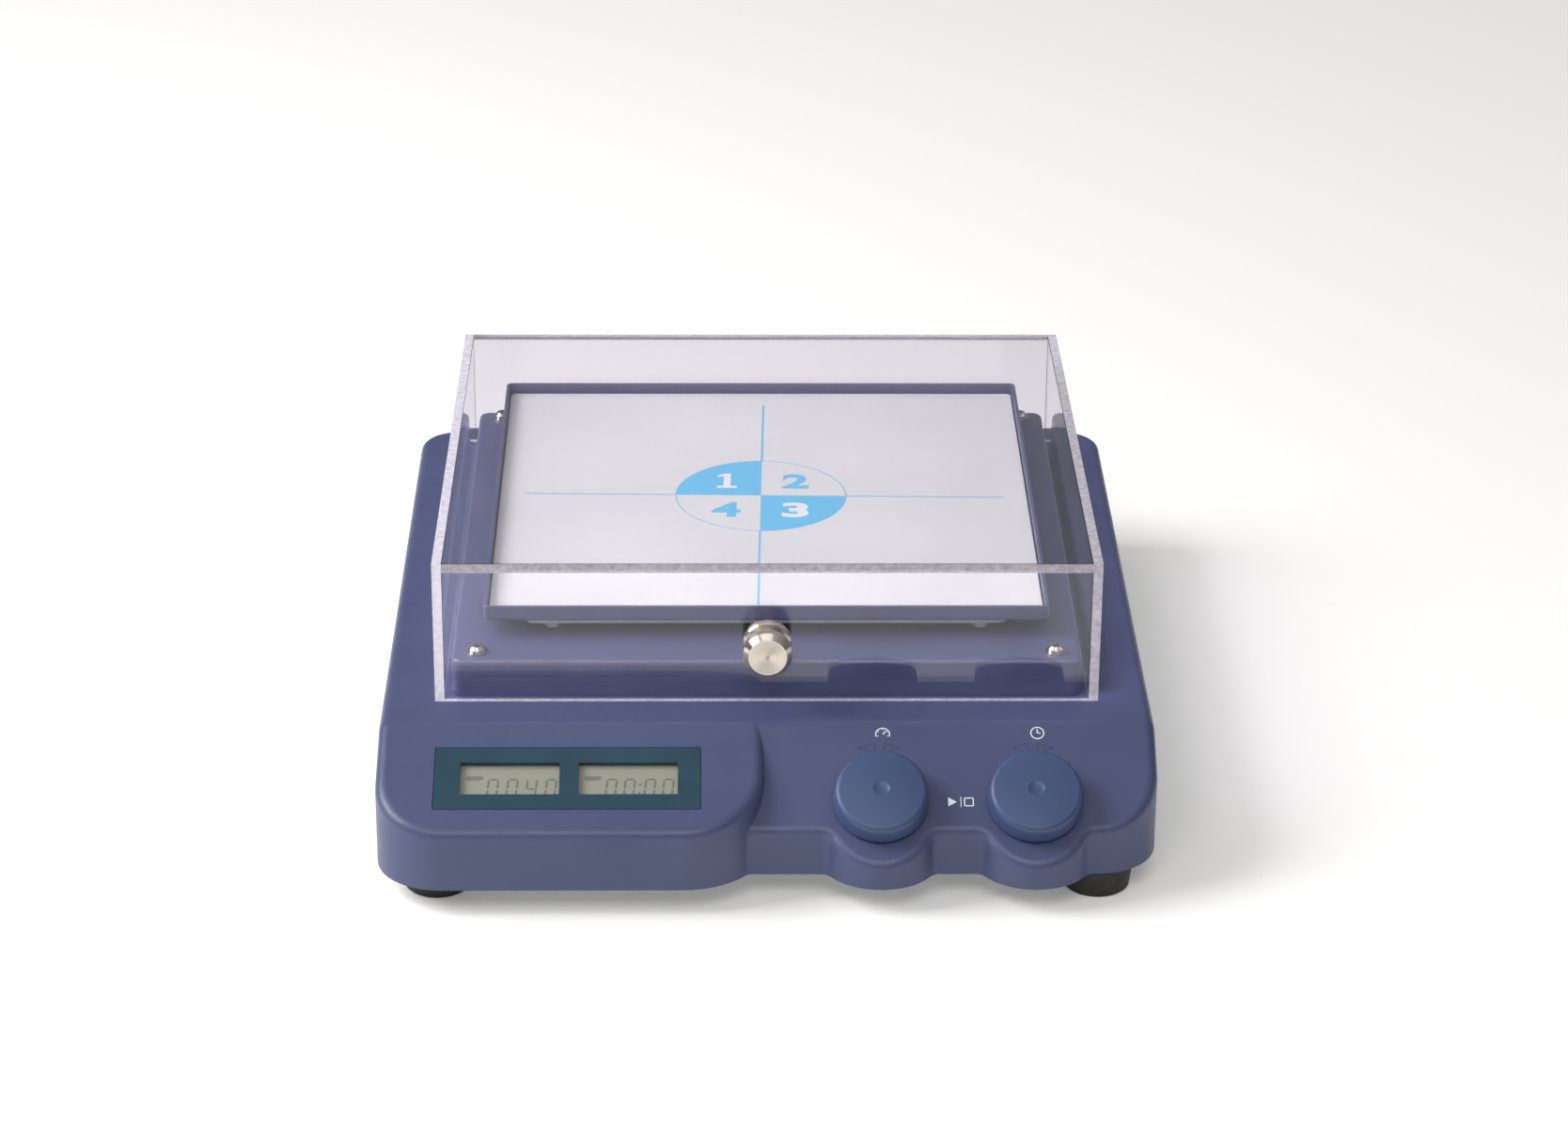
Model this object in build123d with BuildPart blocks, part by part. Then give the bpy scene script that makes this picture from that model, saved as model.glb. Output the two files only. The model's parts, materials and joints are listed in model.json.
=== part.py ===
from build123d import *
import os
from math import acos, copysign, cos, degrees, hypot, radians, sin, sqrt, tan

os.makedirs("parts", exist_ok=True)

# Orbital shaker with a hinged clear hood, in millimetres and degrees.
# +X is right, +Y is back and +Z is up. The origin is on the floor, under the
# middle of the housing. The tray is drawn at the back of its orbit.

# Moulded housing
housing_width = 325
housing_depth = 367
housing_height = 49
floor_gap = 12
wall = 3
front_corner = 26
rear_corner = 17
edge_radius = 4.5

# Control end of the housing
crease_setback = 55.5
crease_radius = 8
recess = 13.5
panel_slope = 34
pod_slope = 22
pod_right = -1.5
pod_left_corner = 28
pod_right_corner = 34
boss_radius = 24.5
boss_blend = 5
knob_middle = 78.6
knob_spacing = 64

# Base plate and feet
plate_recess = 1
plate_thickness = 2
plate_gap = 0.3
foot_spacing = 275
foot_front_inset = 28.5
foot_rear_inset = 33.5
foot_radius = 15
foot_neck_radius = 11
foot_tip_radius = 13.5
foot_recess = 5
vent_length = 40
vent_width = 3
vent_pitch = 8
vent_count = 6

# Clear hood
hood_width = 280
hood_depth = 273.8
hood_front_height = 64
hood_rear_height = 56.6
hood_sheet = 4
hood_setback = 75
hood_lift = 0.3
pull_radius = 10.25
pull_waist = 6
pull_length = 16
pull_height = 28.5

# Hood hinges
hinge_spread = 170
hinge_length = 36
hinge_leaf = 1.2
knuckle_radius = 3
hinge_pin_radius = 1.5
knuckle_gap = 0.4
deck_leaf_reach = 10
hood_leaf_reach = 16

# Folded cover over the deck opening
cover_gap = 2.5
cover_height = 17
cover_sheet = 1.5
cover_corner = 4.5
cover_edge = 2
cover_screw_inset_x = 11
cover_screw_inset_y = 8
deck_opening = 224
deck_opening_corner = 12
cover_post_radius = 4.5

# Drive: one driven crank and three idler cranks of the same throw
orbit_radius = 11
idler_circle = 97
idler_angles = (-50, 70, 190)
crank_pin_radius = 5
crank_shaft_radius = 6
idler_pin_radius = 4
idler_disc_radius = 17
idler_disc_thickness = 6
hub_radius = 22
hub_thickness = 8
counterweight_radius = 58
counterweight_angle = 130
crank_level = 64
running_gap = 0.05
seat_gap = 0.3

# Tray
tray_width = 241
tray_depth = 239
tray_sheet = 1.5
tray_lip = 7
tray_corner = 2.5
tray_rim_radius = 0.35
tray_gap = 7.7
mat_thickness = 0.8
mat_margin = 0.7
carrier_width = 204
carrier_depth = 236
carrier_sheet = 1.5
carrier_hole_radius = 16
carrier_hole_spacing = 90
tray_screw_x = 91.4
tray_screw_y = 112
bush_flange = 2.5
bush_flange_radius = 9
bush_barrel_radius = 6.25
centre_flange_radius = 12
centre_barrel_radius = 8

# Chassis under the deck
chassis_size = 248
chassis_corner = 10
chassis_sheet = 3
standoff_height = 29
standoff_flats = 8
standoff_spread = 224
bearing_outer_radius = 14
bearing_inner_radius = 8
bearing_width = 8
main_barrel_radius = 19
main_flange_radius = 32
barrel_below = 13
barrel_above = 14
flange_thickness = 3
idler_barrel_radius = 10
idler_flange_radius = 19

# Motor and ribbed belt
belt_reduction = 3
motor_pulley_radius = 13
motor_distance = 72
motor_bearing = 10
motor_radius = 25
motor_height = 27
motor_flange = 62
motor_shaft_radius = 3
rib_pitch = 2.34
rib_count = 4
rib_land = 0.4
rib_angle = 20
belt_backing = 1.3
belt_rise = 0.9
pulley_side = 1.2
pulley_lift = 3

# Display
window_length = 110
window_height = 33.1
window_thickness = 1.5
window_left = 24.5
window_drop = 13.7
screen_width = 41.2
screen_height = 17.1
screen_spacing = 49
screen_offset = 0.6
lcd_thickness = 3
lcd_margin = 1.2
lcd_depth = 2.4
display_board_margin = 2
board_boss_radius = 2.2
board_thickness = 1.6

# Control knobs on push encoders
knob_radius = 19.75
knob_height = 12
knob_clearance = 1.8
knob_wall = 2
knob_dimple_radius = 3.5
knob_dimple_depth = 0.8
knob_travel = 1
encoder_size = 14
encoder_height = 8
bushing_radius = 4.5
bushing_height = 3.4
encoder_shaft_radius = 3
encoder_nut_flats = 12
encoder_nut_height = 2.2
plunger_radius = 5
plunger_height = 1.5
encoder_shell = 1
encoder_roof = 2

# Controller board and power supply on the base plate
board_setback = 12
board_length = 120
board_depth = 48
pillar_height = 6
pillar_radius = 2.5
supply_x = -52
supply_setback = 94
supply_length = 90
supply_depth = 68
supply_height = 24

# Mains inlet with its fuse drawer, and the power switch, in the rear wall
rear_pocket = 4.5
rear_flange = 2
rear_parts_z = 35.5
inlet_x = -100
inlet_width = 31
inlet_height = 36
inlet_depth = 20
socket_width = 24.5
socket_height = 16.5
socket_depth = 16
socket_rise = 6.5
blade_width = 4
blade_thickness = 2
blade_length = 14
blade_tab = 5
blade_spread = 14
blade_rise = 4
drawer_width = 26
drawer_height = 9
drawer_depth = 16
drawer_drop = 10.5
fuse_radius = 2.6
fuse_length = 22
switch_x = -64
switch_width = 15
switch_height = 21
switch_depth = 14
rocker_width = 10.4
rocker_height = 16
rocker_pin_radius = 1
rocker_tilt = 10

# Fasteners
screw_radius = 2
screw_head_radius = 3.6
screw_head_height = 2.4
washer_radius = 4.4
washer_thickness = 0.8
small_screw_radius = 1.5
small_head_radius = 2.75
hinge_head_radius = 2.6
nut_flats = 7
nut_thickness = 3.2

# Levels and places worked out from the sizes above
deck_z = floor_gap + housing_height
front_y = -housing_depth / 2
rear_y = housing_depth / 2
crease_y = front_y + crease_setback
recess_y = front_y + recess
knob_y = front_y + boss_radius
knob_z = deck_z - (crease_y - knob_y) * tan(radians(panel_slope))
knob_xs = (knob_middle - knob_spacing / 2, knob_middle + knob_spacing / 2)
plate_z = floor_gap + plate_recess
plate_top = plate_z + plate_thickness
hood_front_y = front_y + hood_setback
hood_rear_y = hood_front_y + hood_depth
hood_bottom = deck_z + hood_lift
orbit_y = hood_front_y + hood_depth / 2
hinge_y = hood_rear_y + knuckle_radius + knuckle_gap
hinge_z = deck_z + knuckle_radius + knuckle_gap
hinge_xs = (-hinge_spread / 2, hinge_spread / 2)
hinge_screw_xs = [x + side * hinge_length / 3 for x in hinge_xs for side in (-1, 1)]
deck_screw_y = hinge_y + deck_leaf_reach - hinge_head_radius - 0.8
hood_screw_z = hinge_z + hood_leaf_reach - hinge_head_radius - 2
cover_width = hood_width - 2 * hood_sheet - 2 * cover_gap
cover_depth = hood_depth - 2 * hood_sheet - 2 * cover_gap
cover_top = deck_z + cover_height
tray_y = orbit_y + orbit_radius
tray_bottom = cover_top + tray_gap
tray_floor = tray_bottom + tray_sheet
pin_top = tray_floor - 2 * seat_gap
chassis_z = plate_top + standoff_height
chassis_top = chassis_z + chassis_sheet
idler_axes = [
    (idler_circle * cos(radians(turn)), orbit_y + idler_circle * sin(radians(turn)))
    for turn in idler_angles
]
idler_pins = [(x, y + orbit_radius) for x, y in idler_axes]
motor_x = motor_distance * cos(radians(motor_bearing))
motor_y = orbit_y + motor_distance * sin(radians(motor_bearing))
standoff_places = [
    (sx * standoff_spread / 2, orbit_y + sy * standoff_spread / 2) for sx in (-1, 1) for sy in (-1, 1)
]
foot_places = [
    (side * foot_spacing / 2, y)
    for side in (-1, 1)
    for y in (front_y + foot_front_inset, rear_y - foot_rear_inset)
]


def upright(seat):
    """The plane through a seat's axis, on which a turned profile is drawn."""
    return Plane(origin=seat.origin, x_dir=seat.x_dir, z_dir=-seat.y_dir)


def turned(seat, profile):
    """A piece turned about a seat's axis from (radius, height) points."""
    with BuildPart() as piece:
        with BuildSketch(upright(seat)):
            with BuildLine():
                Polyline(*profile, close=True)
            make_face()
        revolve(axis=Axis(seat.origin, seat.z_dir))
    return piece.part


def pan_screw(seat, length, radius=screw_radius, head=screw_head_radius, washer=0):
    """A pan-head screw that points down its seat's axis, with a captive washer if it has one."""
    head_top = washer + screw_head_height
    points = [(0, -length), (radius * 0.7, -length), (radius, 0.3 * radius - length), (radius, 0)]
    if washer:
        points += [(washer_radius, 0), (washer_radius, washer)]
    points += [(head, washer), (head, washer + 0.5 * screw_head_height)]
    points += [(0.7 * head, head_top), (0, head_top)]
    return turned(seat, points)


def flat_screw(seat, length, radius, head):
    """A countersunk screw, flush with its seat, that points down its axis."""
    points = [(0, -length), (radius * 0.7, -length), (radius, 0.3 * radius - length)]
    points += [(radius, radius - head), (head, 0), (0, 0)]
    return turned(seat, points)


def crown(start, end):
    """An arc between two (radius, height) points of a profile, on a sphere about its axis."""
    x1, z1, x2, z2 = start[0], start[1], end[0], end[1]
    centre = (x1**2 + z1**2 - x2**2 - z2**2) / (2 * (z1 - z2))
    middle = (x1 + x2) / 2
    height = sqrt(hypot(x1, z1 - centre) ** 2 - middle**2)
    return ThreePointArc(start, (middle, centre + copysign(height, z1 - centre)), end)


def hex_nut(seat, flats=nut_flats, height=nut_thickness, bore=screw_radius + running_gap):
    """A hexagon nut on its seat, with a clear bore."""
    with BuildPart() as nut:
        with BuildSketch(seat):
            RegularPolygon(flats / 2, 6, major_radius=False)
            Circle(bore, mode=Mode.SUBTRACT)
        extrude(amount=height)
    return nut.part


def save(piece, label):
    """Names one sub-part and writes it to its own file."""
    piece.part.label = label
    export_step(piece.part, f"parts/{label}.step")


# Housing: a body with a sloped control panel and two knob bosses, and a display
# pod that stands forward of the panel. Both are drawn once as outer forms and
# once drawn in by the wall, which leaves an open-bottomed moulded shell.


def under_deck(slope, inset):
    """The space under the deck and one sloped face, as wide as the housing."""
    top = deck_z - inset
    bend_y = crease_y + inset * tan(radians(slope / 2))
    reach = front_y - 2 * wall
    drop = (bend_y - reach) * tan(radians(slope))
    with BuildPart() as space:
        with BuildSketch(Plane.YZ) as profile:
            with BuildLine():
                Polyline(
                    (rear_y + wall, 0),
                    (rear_y + wall, top),
                    (bend_y, top),
                    (reach, top - drop),
                    (reach, 0),
                    close=True,
                )
            make_face()
            fillet(profile.vertices().filter_by_position(Axis.X, bend_y - 1, bend_y + 1), crease_radius)
        extrude(amount=housing_width, both=True)
    return space.part


def pod_plan(inset):
    """The display pod's outline in plan, drawn in by inset."""
    left = inset - housing_width / 2
    right = pod_right - inset
    front = front_y + inset
    back = crease_y + 2 * crease_radius
    with BuildSketch() as plan:
        with Locations(((left + right) / 2, (front + back) / 2)):
            Rectangle(right - left, back - front)
        fillet(plan.vertices().group_by(Axis.Y)[0].sort_by(Axis.X)[0], pod_left_corner - inset)
        fillet(plan.vertices().group_by(Axis.Y)[0].sort_by(Axis.X)[-1], pod_right_corner - inset)
    return plan.sketch


def housing_plan(inset, pod_inset):
    """The body's outline in plan, with its knob bosses blended in and the pod's foot."""
    front = recess_y + inset
    back = rear_y - inset
    pod = pod_plan(pod_inset)
    with BuildSketch() as plan:
        with Locations((0, (front + back) / 2)):
            Rectangle(housing_width - 2 * inset, back - front)
        fillet(plan.vertices().group_by(Axis.Y)[0], front_corner - inset)
        fillet(plan.vertices().group_by(Axis.Y)[-1], rear_corner - inset)
        with Locations(*[(x, knob_y) for x in knob_xs]):
            Circle(boss_radius - inset)
        add(pod)
        corners = plan.vertices().filter_by_position(Axis.Y, front - 0.01, front + 0.01)
        limit = housing_width / 2 - front_corner - 0.1
        fillet(corners.filter_by_position(Axis.X, -limit, limit), boss_blend + inset)
    return plan.sketch


def rounded_top(plan, slope, inset, rounding):
    """A form with the given plan under the deck and one sloped face, with its top edges rounded."""
    space = under_deck(slope, inset)
    with BuildPart() as form:
        with BuildSketch(Plane.XY.offset(floor_gap - inset)):
            add(plan)
        extrude(amount=housing_height + 2 * inset)
        add(space, mode=Mode.INTERSECT)
        if rounding:
            rims = form.edges().filter_by(Axis.Z, reverse=True)
            rims = rims.filter_by_position(Axis.Z, floor_gap + 1, deck_z + 1)
            folds = rims.filter_by(Axis.X).filter_by_position(
                Axis.Y, crease_y - crease_radius, crease_y + 1.5 * crease_radius
            )
            back = rims.filter_by(Axis.X).filter_by_position(
                Axis.Y, crease_y + 1.9 * crease_radius, crease_y + 2.1 * crease_radius
            )
            fillet([rim for rim in rims if rim not in folds and rim not in back], rounding)
    return form.part


outer_body = rounded_top(housing_plan(0, seat_gap), panel_slope, 0, edge_radius)
outer_pod = rounded_top(pod_plan(0), pod_slope, 0, edge_radius)
inner_body = rounded_top(housing_plan(wall, wall + seat_gap), panel_slope, wall, 0)
inner_pod = rounded_top(pod_plan(wall), pod_slope, wall, 0)

panel_normal = (0, -sin(radians(panel_slope)), cos(radians(panel_slope)))
pod_normal = (0, -sin(radians(pod_slope)), cos(radians(pod_slope)))
knob_seats = [Plane(origin=(x, knob_y, knob_z), x_dir=(1, 0, 0), z_dir=panel_normal) for x in knob_xs]
window_x = -housing_width / 2 + window_left + window_length / 2
window_down = window_drop + window_height / 2
window_y = crease_y - window_down * cos(radians(pod_slope))
window_z = deck_z - window_down * sin(radians(pod_slope))
window_seat = Plane(origin=(window_x, window_y, window_z), x_dir=(1, 0, 0), z_dir=pod_normal)
screen_places = [(screen_offset + side * screen_spacing / 2, 0) for side in (-1, 1)]
board_top = lcd_depth + lcd_thickness
aperture_length = screen_spacing + screen_width + 2 * lcd_margin + 4 * screen_offset
aperture_height = screen_height + 2 * lcd_margin + 2 * screen_offset
display_board_length = window_length - 2 * display_board_margin
display_board_height = window_height - 2 * display_board_margin
cover_post_places = [
    (side * (cover_width / 2 - cover_screw_inset_x), orbit_y + end * (cover_depth / 2 - cover_screw_inset_y))
    for side in (-1, 1)
    for end in (-1, 1)
]
housing_post_places = [
    (side * (housing_width / 2 - wall - 9.5), y)
    for side in (-1, 1)
    for y in (crease_y + 16, orbit_y - 2, rear_y - wall - 15.5)
]
rear_seat = Plane(origin=(0, rear_y, rear_parts_z), x_dir=(-1, 0, 0), z_dir=(0, 1, 0))
pocket_width = abs(switch_x - inlet_x) + inlet_width / 2 + switch_width / 2 + 6
pocket_x = (inlet_x - inlet_width / 2 + switch_x + switch_width / 2) / 2
pocket_height = inlet_height + 2 * seat_gap

with BuildPart() as upper_housing:
    add(outer_body)
    add(outer_pod)
    add(inner_body, mode=Mode.SUBTRACT)
    add(inner_pod, mode=Mode.SUBTRACT)
    # Opening in the deck, over the cranks
    with BuildSketch(Plane.XY.offset(deck_z)):
        with Locations((0, orbit_y)):
            RectangleRounded(deck_opening, deck_opening, deck_opening_corner)
    extrude(amount=-2 * wall, mode=Mode.SUBTRACT)
    # Moulded posts: four that carry the cover and six that take the base screws
    with BuildSketch(Plane.XY.offset(deck_z - wall / 2)):
        with Locations(*cover_post_places):
            Circle(cover_post_radius)
    extrude(amount=wall / 2 + cover_height - cover_sheet)
    with BuildSketch(Plane.XY.offset(cover_top - cover_sheet)):
        with Locations(*cover_post_places):
            Circle(screw_radius + running_gap)
    extrude(amount=-cover_height, mode=Mode.SUBTRACT)
    with BuildSketch(Plane.XY.offset(plate_top)):
        with Locations(*housing_post_places):
            Circle(cover_post_radius)
        for x, y in housing_post_places:
            with Locations((x + (cover_post_radius if x > 0 else -cover_post_radius), y)):
                Rectangle(2 * cover_post_radius + 2, 2)
    extrude(amount=deck_z - wall / 2 - plate_top)
    with BuildSketch(Plane.XY.offset(plate_top)):
        with Locations(*housing_post_places):
            Circle(small_screw_radius + running_gap)
    extrude(amount=14, mode=Mode.SUBTRACT)
    # Recess for the display window, the screens' aperture and the board's bosses
    with BuildSketch(window_seat):
        RectangleRounded(window_length + 2 * seat_gap, window_height + 2 * seat_gap, 1)
    extrude(amount=-window_thickness, mode=Mode.SUBTRACT)
    with BuildSketch(window_seat):
        RectangleRounded(aperture_length, aperture_height, 1)
    extrude(amount=-2 * wall, mode=Mode.SUBTRACT)
    with BuildSketch(window_seat.offset(-board_top)):
        with GridLocations(
            display_board_length - 2 * board_boss_radius, display_board_height - 2 * board_boss_radius, 2, 2
        ):
            Circle(board_boss_radius)
    extrude(amount=board_top - wall / 2 - 1)
    # Holes for the hinge screws, and bores for the encoder bushings
    with BuildSketch(Plane.XY.offset(deck_z)):
        with Locations(*[(x, deck_screw_y) for x in hinge_screw_xs]):
            Circle(small_screw_radius + running_gap)
    extrude(amount=-2 * wall, mode=Mode.SUBTRACT)
    for seat in knob_seats:
        with BuildSketch(seat):
            Circle(bushing_radius + running_gap)
        extrude(amount=-2 * wall, mode=Mode.SUBTRACT)
    # Thickened pad and pocket for the inlet and the switch
    with BuildSketch(rear_seat.offset(-wall / 2)):
        with Locations((-pocket_x, 0)):
            Rectangle(pocket_width + 4, pocket_height + 4)
    extrude(amount=-wall / 2 - rear_pocket)
    with BuildSketch(rear_seat):
        with Locations((-pocket_x, 0)):
            RectangleRounded(pocket_width, pocket_height, 2)
    extrude(amount=-rear_pocket, mode=Mode.SUBTRACT)
    with BuildSketch(rear_seat):
        with Locations((-inlet_x, 0)):
            Rectangle(inlet_width - 3, inlet_height - 3)
        with Locations((-switch_x, 0)):
            Rectangle(switch_width - 2, switch_height - 2)
    extrude(amount=-3 * wall, mode=Mode.SUBTRACT)
save(upper_housing, "upper_housing")

# Steel base plate with vents, pillars for the controller board and the feet under it

board_x = knob_middle
board_y = crease_y + board_setback
board_pillars = [
    (board_x + side * (board_length / 2 - 4), board_y + end * (board_depth / 2 - 4))
    for side in (-1, 1)
    for end in (-1, 1)
]
plate_plan = housing_plan(wall + plate_gap, wall + plate_gap)

with BuildPart() as bottom_plate:
    with BuildSketch(Plane.XY.offset(plate_z)):
        add(plate_plan)
        with Locations(*housing_post_places):
            Circle(small_screw_radius + running_gap, mode=Mode.SUBTRACT)
        with Locations(*foot_places, *standoff_places):
            Circle(screw_radius + running_gap, mode=Mode.SUBTRACT)
        for end in (-1, 1):
            with Locations((0, orbit_y + end * 100)):
                with GridLocations(0, vent_pitch, 1, vent_count):
                    SlotOverall(vent_length, vent_width, mode=Mode.SUBTRACT)
    extrude(amount=plate_thickness)
    with BuildSketch(Plane.XY.offset(plate_top)):
        with Locations(*board_pillars):
            Circle(pillar_radius)
    extrude(amount=pillar_height)
save(bottom_plate, "bottom_plate")

foot = turned(
    Plane.XY,
    [
        (screw_radius + seat_gap, plate_z),
        (foot_neck_radius, plate_z),
        (foot_neck_radius, floor_gap - seat_gap),
        (foot_radius, floor_gap - seat_gap),
        (foot_radius, floor_gap - 3),
        (foot_tip_radius + 0.4, 0.8),
        (foot_tip_radius - 0.4, 0),
        (screw_head_radius + 2, 0),
        (screw_head_radius + 1.4, foot_recess),
        (screw_radius + seat_gap, foot_recess),
    ],
)
with BuildPart() as feet:
    with Locations(*foot_places):
        add(foot)
save(feet, "feet")

foot_screw = pan_screw(Plane.XY.offset(foot_recess).rotated((180, 0, 0)), plate_top + 3 - foot_recess)
with BuildPart() as foot_screws:
    with Locations(*foot_places):
        add(foot_screw)
save(foot_screws, "foot_screws")

bottom_screw_seat = Plane.XY.offset(plate_z).rotated((180, 0, 0))
bottom_screw = pan_screw(bottom_screw_seat, 12, small_screw_radius, small_head_radius)
with BuildPart() as bottom_screws:
    with Locations(*housing_post_places):
        add(bottom_screw)
save(bottom_screws, "bottom_screws")

# Folded cover over the deck opening, held by four screws with captive washers

with BuildPart() as deck_cover:
    with BuildSketch(Plane.XY.offset(deck_z)):
        with Locations((0, orbit_y)):
            RectangleRounded(cover_width, cover_depth, cover_corner)
    extrude(amount=cover_height)
    fillet(deck_cover.faces().sort_by(Axis.Z)[-1].edges(), cover_edge)
    with BuildSketch(Plane.XY.offset(deck_z)):
        with Locations((0, orbit_y)):
            RectangleRounded(
                cover_width - 2 * cover_sheet, cover_depth - 2 * cover_sheet, cover_corner - cover_sheet
            )
    extrude(amount=cover_height - cover_sheet, mode=Mode.SUBTRACT)
    with BuildSketch(Plane.XY.offset(cover_top)):
        with Locations((0, orbit_y)):
            Circle(orbit_radius + crank_pin_radius + 2)
        with Locations(*idler_axes):
            Circle(orbit_radius + idler_pin_radius + 2)
        with Locations(*cover_post_places):
            Circle(screw_radius + 0.2)
    extrude(amount=-2 * cover_sheet, mode=Mode.SUBTRACT)
save(deck_cover, "deck_cover")

cover_screw = pan_screw(Plane.XY.offset(cover_top), 14, washer=washer_thickness)
with BuildPart() as deck_cover_screws:
    with Locations(*cover_post_places):
        add(cover_screw)
save(deck_cover_screws, "deck_cover_screws")

# Chassis plate on hexagon standoffs, with pressed-in studs for what stands on it

main_studs = [Vector(main_flange_radius - 5, 0).rotate(Axis.Z, 45 + 90 * turn) for turn in range(4)]
motor_studs = [
    Vector(motor_x + sx * (motor_flange / 2 - 5), motor_y + sy * (motor_flange / 2 - 5))
    for sx in (-1, 1)
    for sy in (-1, 1)
]
idler_studs = [
    Vector(x, y) + Vector(idler_flange_radius - 4.2, 0).rotate(Axis.Z, 90 + 120 * turn)
    for x, y in idler_axes
    for turn in range(3)
]
flange_studs = [(stud.X, stud.Y + orbit_y) for stud in main_studs]
flange_studs += [(stud.X, stud.Y) for stud in motor_studs + idler_studs]

with BuildPart() as chassis_plate:
    with BuildSketch(Plane.XY.offset(chassis_z)):
        with Locations((0, orbit_y)):
            RectangleRounded(chassis_size, chassis_size, chassis_corner)
            Circle(main_barrel_radius + seat_gap, mode=Mode.SUBTRACT)
        with Locations(*idler_axes):
            Circle(idler_barrel_radius + seat_gap, mode=Mode.SUBTRACT)
        with Locations((motor_x, motor_y)):
            Circle(motor_radius + seat_gap, mode=Mode.SUBTRACT)
        with Locations(*standoff_places):
            Circle(screw_radius + running_gap, mode=Mode.SUBTRACT)
    extrude(amount=chassis_sheet)
    with BuildSketch(Plane.XY.offset(chassis_top)):
        with Locations(*flange_studs):
            Circle(screw_radius)
    extrude(amount=flange_thickness + nut_thickness + 1)
save(chassis_plate, "chassis_plate")

with BuildPart() as chassis_standoffs:
    with BuildSketch(Plane.XY.offset(plate_top)):
        with Locations(*standoff_places):
            RegularPolygon(standoff_flats / 2, 6, major_radius=False)
    extrude(amount=standoff_height)
    with BuildSketch(Plane.XY.offset(plate_z - nut_thickness - 1)):
        with Locations(*standoff_places):
            Circle(screw_radius)
    extrude(amount=chassis_top - plate_z + 2 * nut_thickness + 2)
save(chassis_standoffs, "chassis_standoffs")

stud_nut = hex_nut(Plane.XY)
with BuildPart() as chassis_nuts:
    with Locations(*[(x, y, chassis_top + flange_thickness) for x, y in flange_studs]):
        add(stud_nut)
    with Locations(*[(x, y, chassis_top) for x, y in standoff_places]):
        add(stud_nut)
    with Locations(*[(x, y, plate_z - nut_thickness) for x, y in standoff_places]):
        add(stud_nut)
save(chassis_nuts, "chassis_nuts")

# Main bearing housing with two sealed ball bearings, and three plain idler housings

main_axis = Plane.XY.move(Location((0, orbit_y, 0)))
barrel_bottom = chassis_z - barrel_below
barrel_top = chassis_top + barrel_above
lower_bearing = barrel_bottom + 1
upper_bearing = barrel_top - 1 - bearing_width

with BuildPart() as main_bearing_housing:
    with BuildSketch(upright(main_axis)):
        with BuildLine():
            Polyline(
                (bearing_outer_radius, barrel_bottom),
                (main_barrel_radius, barrel_bottom),
                (main_barrel_radius, chassis_top),
                (main_flange_radius, chassis_top),
                (main_flange_radius, chassis_top + flange_thickness),
                (main_barrel_radius, chassis_top + flange_thickness),
                (main_barrel_radius, barrel_top),
                (bearing_outer_radius, barrel_top),
                (bearing_outer_radius, upper_bearing),
                (bearing_outer_radius - 2, upper_bearing),
                (bearing_outer_radius - 2, lower_bearing + bearing_width),
                (bearing_outer_radius, lower_bearing + bearing_width),
                close=True,
            )
        make_face()
    revolve(axis=Axis(main_axis.origin, main_axis.z_dir))
    with BuildSketch(Plane.XY.offset(chassis_top + flange_thickness)):
        with Locations(*flange_studs[:4]):
            Circle(screw_radius + running_gap)
    extrude(amount=-flange_thickness, mode=Mode.SUBTRACT)
save(main_bearing_housing, "main_bearing_housing")

outer_ring = turned(
    main_axis,
    [
        (bearing_outer_radius - 2, 0),
        (bearing_outer_radius, 0),
        (bearing_outer_radius, bearing_width),
        (bearing_outer_radius - 2, bearing_width),
        (bearing_outer_radius - 2, bearing_width - 0.4),
        (bearing_inner_radius + running_gap, bearing_width - 0.4),
        (bearing_inner_radius + running_gap, 0.4),
        (bearing_outer_radius - 2, 0.4),
    ],
)
with BuildPart() as main_bearings:
    with Locations((0, 0, lower_bearing), (0, 0, upper_bearing)):
        add(outer_ring)
save(main_bearings, "main_bearings")

inner_ring = turned(
    main_axis,
    [
        (crank_shaft_radius, 0),
        (bearing_inner_radius, 0),
        (bearing_inner_radius, bearing_width),
        (crank_shaft_radius, bearing_width),
    ],
)
with BuildPart() as bearing_inner_rings:
    with Locations((0, 0, lower_bearing), (0, 0, upper_bearing)):
        add(inner_ring)
save(bearing_inner_rings, "bearing_inner_rings")

idler_bore = idler_pin_radius + running_gap
idler_housing = turned(
    Plane.XY,
    [
        (idler_bore, barrel_bottom - 1),
        (idler_barrel_radius - 1, barrel_bottom - 1),
        (idler_barrel_radius, barrel_bottom),
        (idler_barrel_radius, chassis_top),
        (idler_flange_radius, chassis_top),
        (idler_flange_radius, chassis_top + flange_thickness),
        (idler_barrel_radius, chassis_top + flange_thickness),
        (idler_barrel_radius, crank_level - seat_gap),
        (idler_bore, crank_level - seat_gap),
    ],
)
with BuildPart() as idler_housings:
    with Locations(*idler_axes):
        add(idler_housing)
    with BuildSketch(Plane.XY.offset(chassis_top + flange_thickness)):
        with Locations(*flange_studs[8:]):
            Circle(screw_radius + running_gap)
    extrude(amount=-flange_thickness, mode=Mode.SUBTRACT)
save(idler_housings, "idler_housings")

# Driven crank: a shaft with a balanced hub on top, its pin and the large pulley below

pulley_z = plate_top + pulley_lift
pulley_width = rib_count * rib_pitch + 2 * pulley_side
drive_pulley_radius = belt_reduction * motor_pulley_radius

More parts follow.
